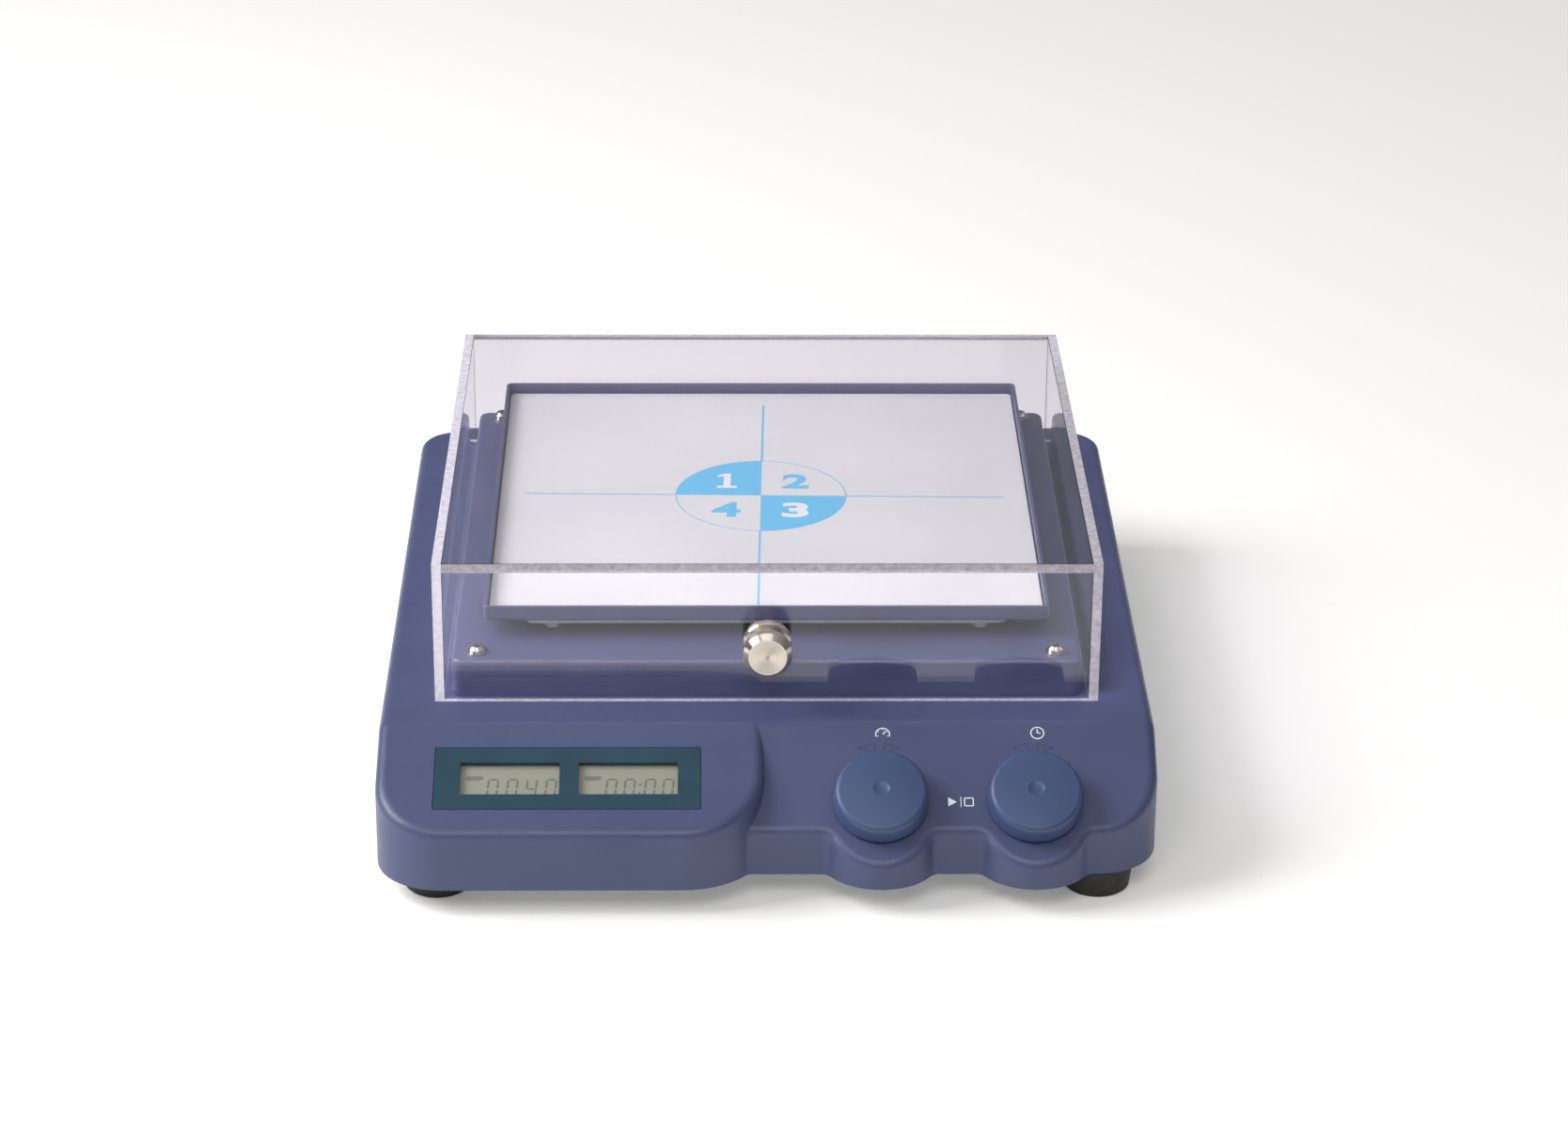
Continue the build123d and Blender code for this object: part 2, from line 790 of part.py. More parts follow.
with BuildPart() as crank_shaft:
    with BuildSketch(upright(main_axis)):
        with BuildLine():
            Polyline(
                (0, pulley_z - 1),
                (crank_shaft_radius - 0.8, pulley_z - 1),
                (crank_shaft_radius, pulley_z - 0.2),
                (crank_shaft_radius, crank_level + hub_thickness),
                (0, crank_level + hub_thickness),
                close=True,
            )
        make_face()
    revolve(axis=Axis(main_axis.origin, main_axis.z_dir))
save(crank_shaft, "crank_shaft")

wedge_x = 2 * counterweight_radius * sin(radians(counterweight_angle / 2))
wedge_y = -2 * counterweight_radius * cos(radians(counterweight_angle / 2))
with BuildPart() as crank_hub:
    with BuildSketch(Plane.XY.offset(crank_level)):
        with Locations((0, orbit_y)):
            Circle(counterweight_radius)
            Polygon((0, 0), (wedge_x, wedge_y), (-wedge_x, wedge_y), align=None, mode=Mode.INTERSECT)
            Circle(hub_radius)
    extrude(amount=hub_thickness)
    with BuildSketch(Plane.XY.offset(upper_bearing + bearing_width)):
        with Locations((0, orbit_y)):
            Circle(bearing_inner_radius)
    extrude(amount=crank_level - upper_bearing - bearing_width)
    with BuildSketch(Plane.XY.offset(crank_level + hub_thickness)):
        with Locations((0, orbit_y)):
            Circle(crank_shaft_radius)
    extrude(amount=-2 * hub_thickness, mode=Mode.SUBTRACT)
    with BuildSketch(Plane.XY.offset(crank_level + hub_thickness)):
        with Locations((0, tray_y)):
            Circle(crank_pin_radius)
    extrude(amount=-hub_thickness, mode=Mode.SUBTRACT)
save(crank_hub, "crank_hub")

tray_axis = Plane.XY.move(Location((0, tray_y, 0)))
with BuildPart() as crank_pin:
    with BuildSketch(upright(tray_axis)):
        with BuildLine():
            Polyline(
                (0, crank_level),
                (crank_pin_radius, crank_level),
                (crank_pin_radius, pin_top - 0.6),
                (crank_pin_radius - 0.6, pin_top),
                (0, pin_top),
                close=True,
            )
        make_face()
    revolve(axis=Axis(tray_axis.origin, tray_axis.z_dir))
save(crank_pin, "crank_pin")

groove_run = (rib_pitch - 2 * rib_land) / 2
groove_depth = groove_run / tan(radians(rib_angle))


def grooves(radius, first_z):
    """The stepped outline of one groove after another, from its lowest land upwards."""
    points = []
    for rib in range(rib_count):
        land = first_z + rib * rib_pitch
        middle = land + rib_pitch / 2
        points.append((radius, land + rib_land / 2))
        points.append((radius - groove_depth, middle - rib_land / 2))
        points.append((radius - groove_depth, middle + rib_land / 2))
        points.append((radius, land + rib_pitch - rib_land / 2))
    return points


rib_z = pulley_z + pulley_side
with BuildPart() as drive_pulley:
    with BuildSketch(upright(main_axis)):
        with BuildLine():
            Polyline(
                (crank_shaft_radius, pulley_z),
                (drive_pulley_radius, pulley_z),
                *grooves(drive_pulley_radius, rib_z),
                (drive_pulley_radius, pulley_z + pulley_width),
                (drive_pulley_radius - 5, pulley_z + pulley_width),
                (drive_pulley_radius - 5, pulley_z + 4),
                (bearing_inner_radius + 2, pulley_z + 4),
                (bearing_inner_radius, lower_bearing - 1),
                (bearing_inner_radius - 0.5, lower_bearing),
                (crank_shaft_radius, lower_bearing),
                close=True,
            )
        make_face()
    revolve(axis=Axis(main_axis.origin, main_axis.z_dir))
save(drive_pulley, "drive_pulley")

# Idler cranks: a shaft, a disc and a pin of the same throw, turned as one piece

for number, (x, y) in enumerate(idler_axes, start=1):
    disc_top = crank_level + idler_disc_thickness
    with BuildPart() as idler_crank:
        with BuildSketch(Plane.XY.offset(barrel_bottom - 3)):
            with Locations((x, y)):
                Circle(idler_pin_radius)
        extrude(amount=crank_level - barrel_bottom + 3)
        with BuildSketch(Plane.XY.offset(crank_level)):
            with Locations((x, y)):
                Circle(idler_disc_radius)
        extrude(amount=idler_disc_thickness)
        with BuildSketch(Plane.XY.offset(disc_top)):
            with Locations((x, y + orbit_radius)):
                Circle(idler_pin_radius)
        extrude(amount=pin_top - disc_top)
        ends = idler_crank.faces().filter_by(Axis.Z)
        chamfer(ends.sort_by(Axis.Z)[0].edges() + ends.sort_by(Axis.Z)[-1].edges(), 0.6)
        fillet(ends.sort_by(Axis.Z)[-2].outer_wire().edges(), 1)
    save(idler_crank, f"idler_crank_{number}")

# Motor, its shaft and small pulley, and the ribbed belt between the pulleys

motor_axis = Plane.XY.move(Location((motor_x, motor_y, 0)))
motor_bottom = pulley_z + pulley_width + 2
motor_top = motor_bottom + motor_height

with BuildPart() as motor:
    with BuildSketch(upright(motor_axis)):
        with BuildLine():
            Polyline(
                (motor_shaft_radius + running_gap, motor_bottom),
                (motor_radius - 1.5, motor_bottom),
                (motor_radius, motor_bottom + 1.5),
                (motor_radius, motor_top - 3),
                (motor_radius - 3, motor_top),
                (0, motor_top),
                (0, motor_top - 3),
                (motor_shaft_radius + running_gap, motor_top - 3),
                close=True,
            )
        make_face()
    revolve(axis=Axis(motor_axis.origin, motor_axis.z_dir))
    with BuildSketch(Plane.XY.offset(chassis_top)):
        with Locations((motor_x, motor_y)):
            RectangleRounded(motor_flange, motor_flange, 4)
            Circle(motor_radius - 1, mode=Mode.SUBTRACT)
        with Locations(*flange_studs[4:8]):
            Circle(screw_radius + running_gap, mode=Mode.SUBTRACT)
    extrude(amount=flange_thickness)
save(motor, "motor")

with BuildPart() as motor_shaft:
    with BuildSketch(Plane.XY.offset(pulley_z - 1)):
        with Locations((motor_x, motor_y)):
            Circle(motor_shaft_radius)
    extrude(amount=motor_top - 3 - seat_gap - pulley_z + 1)
    chamfer(motor_shaft.faces().sort_by(Axis.Z)[0].edges(), 0.5)
save(motor_shaft, "motor_shaft")

with BuildPart() as motor_pulley:
    with BuildSketch(upright(motor_axis)):
        with BuildLine():
            Polyline(
                (motor_shaft_radius, pulley_z),
                (motor_pulley_radius, pulley_z),
                *grooves(motor_pulley_radius, rib_z),
                (motor_pulley_radius, pulley_z + pulley_width),
                (motor_shaft_radius, pulley_z + pulley_width),
                close=True,
            )
        make_face()
    revolve(axis=Axis(motor_axis.origin, motor_axis.z_dir))
save(motor_pulley, "motor_pulley")

belt_plane = main_axis.rotated((0, 0, motor_bearing))
belt_lap = degrees(acos((drive_pulley_radius - motor_pulley_radius) / motor_distance))
with BuildPart() as drive_belt:
    with BuildLine(belt_plane.offset(rib_z)) as belt_path:
        large = CenterArc((0, 0), drive_pulley_radius + belt_rise, belt_lap, 360 - 2 * belt_lap)
        small = CenterArc((motor_distance, 0), motor_pulley_radius + belt_rise, -belt_lap, 2 * belt_lap)
        Line(large @ 1, small @ 0)
        Line(small @ 1, large @ 0)
    start = belt_path.wires()[0]
    section = Plane(origin=start @ 0, x_dir=Vector(0, 0, 1).cross(start % 0), z_dir=start % 0)
    with BuildSketch(section):
        with BuildLine():
            Polyline(
                (0, 0),
                *[(-radius, z) for radius, z in grooves(0, 0)],
                (0, rib_count * rib_pitch),
                (-belt_backing, rib_count * rib_pitch),
                (-belt_backing, 0),
                close=True,
            )
        make_face()
    sweep(path=start)
save(drive_belt, "drive_belt")

# Tray: a folded pan on a carrier plate, with flanged bushes for the four pins and a mat

tray_plane = Plane.XY.offset(tray_bottom)
carrier_z = tray_bottom - carrier_sheet
tray_screw_places = [(sx * tray_screw_x, tray_y + sy * tray_screw_y) for sx in (-1, 1) for sy in (-1, 1)]
tray_screw_head = screw_radius + tray_sheet

with BuildPart() as tray:
    with BuildSketch(tray_plane):
        with Locations((0, tray_y)):
            RectangleRounded(tray_width, tray_depth, tray_corner)
    extrude(amount=tray_lip)
    fillet(tray.faces().sort_by(Axis.Z)[0].edges(), tray_sheet)
    with BuildSketch(tray_plane.offset(tray_sheet)):
        with Locations((0, tray_y)):
            RectangleRounded(
                tray_width - 2 * tray_sheet, tray_depth - 2 * tray_sheet, tray_corner - tray_sheet
            )
    extrude(amount=tray_lip, mode=Mode.SUBTRACT)
    fillet(tray.faces().sort_by(Axis.Z)[-1].edges(), tray_rim_radius)
    with BuildSketch(tray_plane):
        with Locations((0, tray_y)):
            Circle(centre_barrel_radius)
        with Locations(*idler_pins):
            Circle(bush_barrel_radius)
    extrude(amount=tray_sheet, mode=Mode.SUBTRACT)
    with Locations(*[(x, y, tray_floor) for x, y in tray_screw_places]):
        CounterSinkHole(screw_radius + running_gap, tray_screw_head + running_gap, tray_sheet, 90)
save(tray, "tray")

with BuildPart() as tray_carrier:
    with BuildSketch(Plane.XY.offset(carrier_z)):
        with Locations((0, tray_y)):
            RectangleRounded(carrier_width, carrier_depth, tray_corner)
            Circle(centre_barrel_radius, mode=Mode.SUBTRACT)
            with GridLocations(carrier_hole_spacing, carrier_hole_spacing, 2, 2):
                Circle(carrier_hole_radius, mode=Mode.SUBTRACT)
        with Locations(*idler_pins):
            Circle(bush_barrel_radius, mode=Mode.SUBTRACT)
        with Locations(*tray_screw_places):
            Circle(screw_radius + running_gap, mode=Mode.SUBTRACT)
    extrude(amount=carrier_sheet)
    # Nuts pressed into the carrier for the tray screws
    with BuildSketch(Plane.XY.offset(carrier_z)):
        with Locations(*tray_screw_places):
            RegularPolygon(nut_flats / 2, 6, major_radius=False)
            Circle(screw_radius + running_gap, mode=Mode.SUBTRACT)
    extrude(amount=-nut_thickness)
save(tray_carrier, "tray_carrier")

bush = turned(
    Plane.XY,
    [
        (idler_bore, carrier_z - bush_flange),
        (bush_flange_radius - 0.4, carrier_z - bush_flange),
        (bush_flange_radius, carrier_z - bush_flange + 0.4),
        (bush_flange_radius, carrier_z),
        (bush_barrel_radius, carrier_z),
        (bush_barrel_radius, tray_floor),
        (idler_bore, tray_floor),
    ],
)
centre_bore = crank_pin_radius + running_gap
centre_bush = turned(
    tray_axis,
    [
        (centre_bore, carrier_z - bush_flange),
        (centre_flange_radius - 0.4, carrier_z - bush_flange),
        (centre_flange_radius, carrier_z - bush_flange + 0.4),
        (centre_flange_radius, carrier_z),
        (centre_barrel_radius, carrier_z),
        (centre_barrel_radius, tray_floor),
        (centre_bore, tray_floor),
    ],
)
with BuildPart() as tray_bushes:
    add(centre_bush)
    with Locations(*idler_pins):
        add(bush)
save(tray_bushes, "tray_bushes")

tray_screw = flat_screw(
    tray_plane.offset(tray_sheet),
    tray_sheet + carrier_sheet + nut_thickness + 1,
    screw_radius,
    tray_screw_head,
)
with BuildPart() as tray_screws:
    with Locations(*tray_screw_places):
        add(tray_screw)
save(tray_screws, "tray_screws")

with BuildPart() as tray_mat:
    with BuildSketch(tray_plane.offset(tray_sheet)):
        with Locations((0, tray_y)):
            RectangleRounded(
                tray_width - 2 * tray_sheet - 2 * mat_margin, tray_depth - 2 * tray_sheet - 2 * mat_margin, 2
            )
    extrude(amount=mat_thickness)
save(tray_mat, "tray_mat")

# Clear hood: two side sheets with the front, top and back bonded between them

hood_fall = (hood_front_height - hood_rear_height) / hood_depth
inside_width = hood_width - 2 * hood_sheet


def hood_roof(y):
    """The height of the hood's upper face at a distance along the hood."""
    return deck_z + hood_front_height - (y - hood_front_y) * hood_fall


def hood_panel(start_x, width, outline):
    """A sheet of the hood, drawn from the side as (y, z) points and as wide as given."""
    with BuildPart() as panel:
        with BuildSketch(Plane.YZ.offset(start_x)):
            with BuildLine():
                Polyline(*outline, close=True)
            make_face()
        extrude(amount=width)
    return panel.part


side_outline = [
    (hood_front_y, hood_bottom),
    (hood_rear_y, hood_bottom),
    (hood_rear_y, hood_roof(hood_rear_y)),
    (hood_front_y, hood_roof(hood_front_y)),
]
roof_outline = [
    (hood_front_y, hood_roof(hood_front_y) - hood_sheet),
    (hood_rear_y, hood_roof(hood_rear_y) - hood_sheet),
    (hood_rear_y, hood_roof(hood_rear_y)),
    (hood_front_y, hood_roof(hood_front_y)),
]


def end_outline(y):
    """The side view of the front or back sheet, from its front face at y."""
    return [
        (y, hood_bottom),
        (y + hood_sheet, hood_bottom),
        (y + hood_sheet, hood_roof(y + hood_sheet) - hood_sheet),
        (y, hood_roof(y) - hood_sheet),
    ]


side_sheet = hood_panel(-hood_width / 2, hood_sheet, side_outline)
with BuildPart() as hood_left:
    add(side_sheet)
save(hood_left, "hood_left")

with BuildPart() as hood_right:
    with Locations((hood_width - hood_sheet, 0, 0)):
        add(side_sheet)
save(hood_right, "hood_right")

roof_sheet = hood_panel(-inside_width / 2, inside_width, roof_outline)
with BuildPart() as hood_top:
    add(roof_sheet)
save(hood_top, "hood_top")

pull_seat = Plane(
    origin=(0, hood_front_y, deck_z + pull_height), x_dir=(1, 0, 0), z_dir=(0, -1, 0)
)
pull_screw_seat = Plane(origin=(0, hood_front_y + hood_sheet, deck_z + pull_height), z_dir=(0, 1, 0))
front_sheet = hood_panel(-inside_width / 2, inside_width, end_outline(hood_front_y))
with BuildPart() as hood_front:
    add(front_sheet)
    with Locations(pull_screw_seat):
        CounterSinkHole(screw_radius + running_gap, 2 * screw_radius + running_gap, hood_sheet, 90)
save(hood_front, "hood_front")

back_sheet = hood_panel(-inside_width / 2, inside_width, end_outline(hood_rear_y - hood_sheet))
with BuildPart() as hood_back:
    add(back_sheet)
    with BuildSketch(Plane.XZ.offset(-hood_rear_y)):
        with Locations(*[(x, hood_screw_z) for x in hinge_screw_xs]):
            Circle(small_screw_radius + running_gap)
    extrude(amount=hood_sheet, mode=Mode.SUBTRACT)
save(hood_back, "hood_back")

with BuildPart() as pull_knob:
    with BuildSketch(upright(pull_seat)):
        with BuildLine():
            rear_flange_line = Polyline(
                (screw_radius + running_gap, 0),
                (pull_radius - 0.6, 0),
                (pull_radius, 0.6),
                (pull_radius, 0.2 * pull_length),
                (pull_radius - 0.6, 0.25 * pull_length),
                (pull_waist + 1.2, 0.28 * pull_length),
            )
            waist = ThreePointArc(
                rear_flange_line @ 1, (pull_waist, 0.41 * pull_length), (pull_waist + 1.2, 0.54 * pull_length)
            )
            front_flange_line = Polyline(
                waist @ 1,
                (pull_radius - 0.8, 0.57 * pull_length),
                (pull_radius, 0.62 * pull_length),
                (pull_radius, 0.86 * pull_length),
                (pull_radius - 2.2, pull_length),
                (pull_radius - 3, pull_length),
                (0, pull_length - 1.2),
                (0, 0.6 * pull_length),
                (screw_radius + running_gap, 0.6 * pull_length),
                (screw_radius + running_gap, 0),
            )
        make_face()
    revolve(axis=Axis(pull_seat.origin, pull_seat.z_dir))
save(pull_knob, "pull_knob")

pull_screw = flat_screw(pull_screw_seat, hood_sheet + 0.5 * pull_length, screw_radius, 2 * screw_radius)
with BuildPart() as pull_knob_screw:
    add(pull_screw)
save(pull_knob_screw, "pull_knob_screw")

# Butt hinges: outer knuckles on the deck leaf, the middle one on the hood leaf

knuckle_step = hinge_length / 3
knuckle_clear = knuckle_radius + knuckle_gap

with BuildPart() as hinge_deck_leaves:
    for x in hinge_xs:
        for side in (-1, 1):
            first = x + side * knuckle_step - knuckle_step / 2
            with BuildSketch(Plane.YZ.offset(first)):
                with Locations((hinge_y, hinge_z)):
                    Circle(knuckle_radius)
                with Locations((hinge_y + deck_leaf_reach / 2, deck_z + hinge_leaf / 2)):
                    Rectangle(deck_leaf_reach, hinge_leaf)
            extrude(amount=knuckle_step)
        with BuildSketch(Plane.XY.offset(deck_z)):
            with Locations((x, hinge_y + (knuckle_clear + deck_leaf_reach) / 2)):
                Rectangle(knuckle_step, deck_leaf_reach - knuckle_clear)
        extrude(amount=hinge_leaf)
    with BuildSketch(Plane.YZ.offset(-hood_width / 2)):
        with Locations((hinge_y, hinge_z)):
            Circle(hinge_pin_radius + running_gap)
    extrude(amount=hood_width, mode=Mode.SUBTRACT)
    with Locations(*[(x, deck_screw_y, deck_z + hinge_leaf) for x in hinge_screw_xs]):
        CounterSinkHole(
            small_screw_radius + running_gap, hinge_head_radius + running_gap, hinge_leaf, 90
        )
save(hinge_deck_leaves, "hinge_deck_leaves")

with BuildPart() as hinge_hood_leaves:
    for x in hinge_xs:
        with BuildSketch(Plane.YZ.offset(x - knuckle_step / 2 + knuckle_gap / 2)):
            with Locations((hinge_y, hinge_z)):
                Circle(knuckle_radius)
            with Locations((hood_rear_y + hinge_leaf / 2, hinge_z + hood_leaf_reach / 2)):
                Rectangle(hinge_leaf, hood_leaf_reach)
        extrude(amount=knuckle_step - knuckle_gap)
        with BuildSketch(Plane.XZ.offset(-hood_rear_y)):
            with Locations((x, hinge_z + (knuckle_clear + hood_leaf_reach) / 2)):
                Rectangle(hinge_length, hood_leaf_reach - knuckle_clear)
        extrude(amount=-hinge_leaf)
    with BuildSketch(Plane.YZ.offset(-hood_width / 2)):
        with Locations((hinge_y, hinge_z)):
            Circle(hinge_pin_radius + running_gap)
    extrude(amount=hood_width, mode=Mode.SUBTRACT)
    hood_leaf_seats = [
        Plane(origin=(x, hood_rear_y + hinge_leaf, hood_screw_z), z_dir=(0, 1, 0)) for x in hinge_screw_xs
    ]
    with Locations(*hood_leaf_seats):
        CounterSinkHole(
            small_screw_radius + running_gap, hinge_head_radius + running_gap, hinge_leaf, 90
        )
save(hinge_hood_leaves, "hinge_hood_leaves")

with BuildPart() as hinge_pins:
    for x in hinge_xs:
        with BuildSketch(Plane.YZ.offset(x - hinge_length / 2 - 0.6)):
            with Locations((hinge_y, hinge_z)):
                Circle(hinge_pin_radius)
        extrude(amount=hinge_length + 1.2)
    chamfer(hinge_pins.faces().filter_by(Axis.X).edges(), 0.4)
save(hinge_pins, "hinge_pins")

deck_leaf_screw = flat_screw(
    Plane.XY.offset(deck_z + hinge_leaf), 2 * wall, small_screw_radius, hinge_head_radius
)
with BuildPart() as hinge_deck_screws:
    with Locations(*[(x, deck_screw_y) for x in hinge_screw_xs]):
        add(deck_leaf_screw)
save(hinge_deck_screws, "hinge_deck_screws")

hood_leaf_screws = [
    flat_screw(seat, hood_sheet + hinge_leaf - 0.4, small_screw_radius, hinge_head_radius)
    for seat in hood_leaf_seats
]
with BuildPart() as hinge_hood_screws:
    add(hood_leaf_screws)
save(hinge_hood_screws, "hinge_hood_screws")

# Display: the printed window, the two screens behind it and their board

with BuildPart() as display_window:
    with BuildSketch(window_seat):
        RectangleRounded(window_length, window_height, 1)
        with Locations(*screen_places):
            RectangleRounded(screen_width, screen_height, 0.6, mode=Mode.SUBTRACT)
    extrude(amount=-window_thickness)
save(display_window, "display_window")

with BuildPart() as lcd_modules:
    with BuildSketch(window_seat.offset(-lcd_depth)):
        with Locations(*screen_places):
            Rectangle(screen_width + 2 * lcd_margin, screen_height + 2 * lcd_margin)
    extrude(amount=-lcd_thickness)
save(lcd_modules, "lcd_modules")

with BuildPart() as display_board:
    with BuildSketch(window_seat.offset(-board_top)):
        RectangleRounded(display_board_length, display_board_height, 1)
    extrude(amount=-board_thickness)
    with BuildSketch(window_seat.offset(-board_top - board_thickness)):
        with Locations(*screen_places):
            Rectangle(10, 10)
        Rectangle(16, 5)
    extrude(amount=-2)
save(display_board, "display_board")

# Controller board on its pillars, and the enclosed power supply

board_z = plate_top + pillar_height
with BuildPart() as controller_board:
    with BuildSketch(Plane.XY.offset(board_z)):
        with Locations((board_x, board_y)):
            RectangleRounded(board_length, board_depth, 2)
    extrude(amount=board_thickness)
    with BuildSketch(Plane.XY.offset(board_z + board_thickness)):
        with Locations((board_x, board_y)):
            with Locations((-42, -10)):
                Rectangle(18, 14)
            with Locations((0, -6)):
                Rectangle(12, 12)
            with GridLocations(14, 0, 3, 1):
                with Locations((30, 14)):
                    Rectangle(11, 7)
    extrude(amount=4)
    with BuildSketch(Plane.XY.offset(board_z + board_thickness)):
        with Locations((board_x - 20, board_y + 12), (board_x - 36, board_y + 12)):
            Circle(5)
    extrude(amount=12)
save(controller_board, "controller_board")

supply_y = orbit_y + supply_setback
with BuildPart() as power_supply:
    with BuildSketch(Plane.XY.offset(plate_top)):
        with Locations((supply_x, supply_y)):
            Rectangle(supply_length, supply_depth)
    extrude(amount=supply_height)
    chamfer(power_supply.edges().filter_by(Axis.X).sort_by(Axis.Z)[-2:], 2)
    with BuildSketch(Plane.XY.offset(plate_top + supply_height)):
        with Locations((supply_x, supply_y)):
            with GridLocations(7, 7, 9, 6):
                Circle(1.6)
    extrude(amount=-2, mode=Mode.SUBTRACT)
save(power_supply, "power_supply")

# Push encoders under the control panel, and their knobs

shaft_foot = -wall - encoder_roof - seat_gap - 1
shaft_top = knob_height - knob_wall - 0.5
hub_bottom = bushing_height + knob_travel + 0.5

with BuildPart() as encoder_bodies:
    for seat in knob_seats:
        with BuildSketch(seat.offset(-wall - encoder_height)):
            RectangleRounded(encoder_size, encoder_size, 0.8)
        extrude(amount=encoder_height)
        with BuildSketch(seat.offset(-wall)):
            Circle(bushing_radius)
        extrude(amount=wall + bushing_height)
        with BuildSketch(seat.offset(-wall - encoder_height + encoder_shell)):
            Circle(plunger_radius + running_gap)
        extrude(amount=encoder_height - encoder_shell - encoder_roof, mode=Mode.SUBTRACT)
        with BuildSketch(seat.offset(bushing_height)):
            Circle(encoder_shaft_radius + running_gap)
        extrude(amount=-bushing_height - wall - encoder_roof, mode=Mode.SUBTRACT)
save(encoder_bodies, "encoder_bodies")

encoder_nut_pieces = [
    hex_nut(seat, encoder_nut_flats, encoder_nut_height, bushing_radius + running_gap) for seat in knob_seats
]
with BuildPart() as encoder_nuts:
    add(encoder_nut_pieces)
save(encoder_nuts, "encoder_nuts")

with BuildPart() as plunger_form:
    with BuildSketch(Plane.XY.offset(shaft_foot)):
        Circle(plunger_radius)
    extrude(amount=-plunger_height)
    with BuildSketch(Plane.XY.offset(shaft_foot - plunger_height)):
        Circle(plunger_radius / 3)
    extrude(amount=-knob_travel)

with BuildPart() as shaft_form:
    with BuildSketch(Plane.XY.offset(shaft_foot)):
        Circle(encoder_shaft_radius)
    extrude(amount=shaft_top - shaft_foot)
    with BuildSketch(Plane.XY.offset(shaft_foot)):
        Circle(plunger_radius - 0.8)
    extrude(amount=1)
    with BuildSketch(Plane.XY.offset(hub_bottom)):
        with Locations((1.5 * encoder_shaft_radius, 0)):
            Rectangle(1.3 * encoder_shaft_radius, 3 * encoder_shaft_radius)
    extrude(amount=shaft_top, mode=Mode.SUBTRACT)

rim = knob_height - 3.4
ceiling = knob_height - knob_wall - 1.2
dome_edge = (knob_radius - 2.9, rim + 2.1)
dimple_edge = (knob_dimple_radius, knob_height)
dimple_floor = (0, knob_height - knob_dimple_depth)
hub_radius_at_knob = encoder_shaft_radius + 2.5
with BuildPart() as knob_form:
    with BuildSketch(Plane.XZ):
        with BuildLine():
            skirt = Polyline(
                (knob_radius - knob_wall, knob_clearance),
                (knob_radius, knob_clearance),
                (knob_radius - 0.5, rim),
            )
            ThreePointArc(skirt @ 1, (knob_radius - 1.25, rim + 1.4), dome_edge)
            crown(dome_edge, dimple_edge)
            crown(dimple_edge, dimple_floor)
            Polyline(
                dimple_floor,
                (0, hub_bottom),
                (hub_radius_at_knob, hub_bottom),
                (hub_radius_at_knob, ceiling),
                (knob_radius - knob_wall - 0.5, ceiling - 1),
                (knob_radius - knob_wall, knob_clearance),
            )
        make_face()
    revolve(axis=Axis.Z)
    with BuildSketch(Plane.XY.offset(hub_bottom)):
        Circle(encoder_shaft_radius + 0.02)
        with Locations((1.5 * encoder_shaft_radius + 0.02, 0)):
            Rectangle(1.3 * encoder_shaft_radius, 3 * encoder_shaft_radius, mode=Mode.SUBTRACT)
    extrude(amount=shaft_top - hub_bottom + 0.1, mode=Mode.SUBTRACT)

for name, seat in zip(("speed", "time"), knob_seats):
    with BuildPart() as plunger:
        with Locations(seat):
            add(plunger_form.part)
    save(plunger, f"{name}_plunger")

    with BuildPart() as shaft:
        with Locations(seat):
            add(shaft_form.part)
    save(shaft, f"{name}_shaft")

    with BuildPart() as knob:
        with Locations(seat):
            add(knob_form.part)
    save(knob, f"{name}_knob")

# Mains inlet with its contact blades and fuse drawer, seated in the rear pocket

pocket_seat = rear_seat.offset(-rear_pocket)
flange_seat = pocket_seat.offset(rear_flange)
body_width = inlet_width - 3 - 2 * running_gap
body_height = inlet_height - 3 - 2 * running_gap
blade_places = [(-blade_spread / 2, 0), (0, blade_rise), (blade_spread / 2, 0)]

with BuildPart() as power_inlet:
    with BuildSketch(pocket_seat):
        with Locations((-inlet_x, 0)):
            RectangleRounded(inlet_width, inlet_height, 2)
    extrude(amount=rear_flange)
    with BuildSketch(pocket_seat):
        with Locations((-inlet_x, 0)):
            Rectangle(body_width, body_height)
    extrude(amount=-inlet_depth)
    with BuildSketch(flange_seat):
        with Locations((-inlet_x, socket_rise)):
            Rectangle(socket_width, socket_height)
    extrude(amount=-socket_depth - rear_flange, mode=Mode.SUBTRACT)
    with BuildSketch(flange_seat):
        with Locations((-inlet_x, -drawer_drop)):
            Rectangle(drawer_width + 2 * seat_gap, drawer_height + 2 * seat_gap)
    extrude(amount=-drawer_depth - seat_gap, mode=Mode.SUBTRACT)
    with BuildSketch(pocket_seat.offset(-inlet_depth)):
        with Locations((-inlet_x, socket_rise)):
            with Locations(*blade_places):
                Rectangle(blade_thickness + 2 * running_gap, blade_width + 2 * running_gap)
    extrude(amount=inlet_depth - socket_depth, mode=Mode.SUBTRACT)
save(power_inlet, "power_inlet")

with BuildPart() as inlet_pins:
    with BuildSketch(pocket_seat.offset(-inlet_depth - blade_tab)):
        with Locations((-inlet_x, socket_rise)):
            with Locations(*blade_places):
                Rectangle(blade_thickness, blade_width)
    extrude(amount=blade_tab + inlet_depth - socket_depth + blade_length)
save(inlet_pins, "inlet_pins")

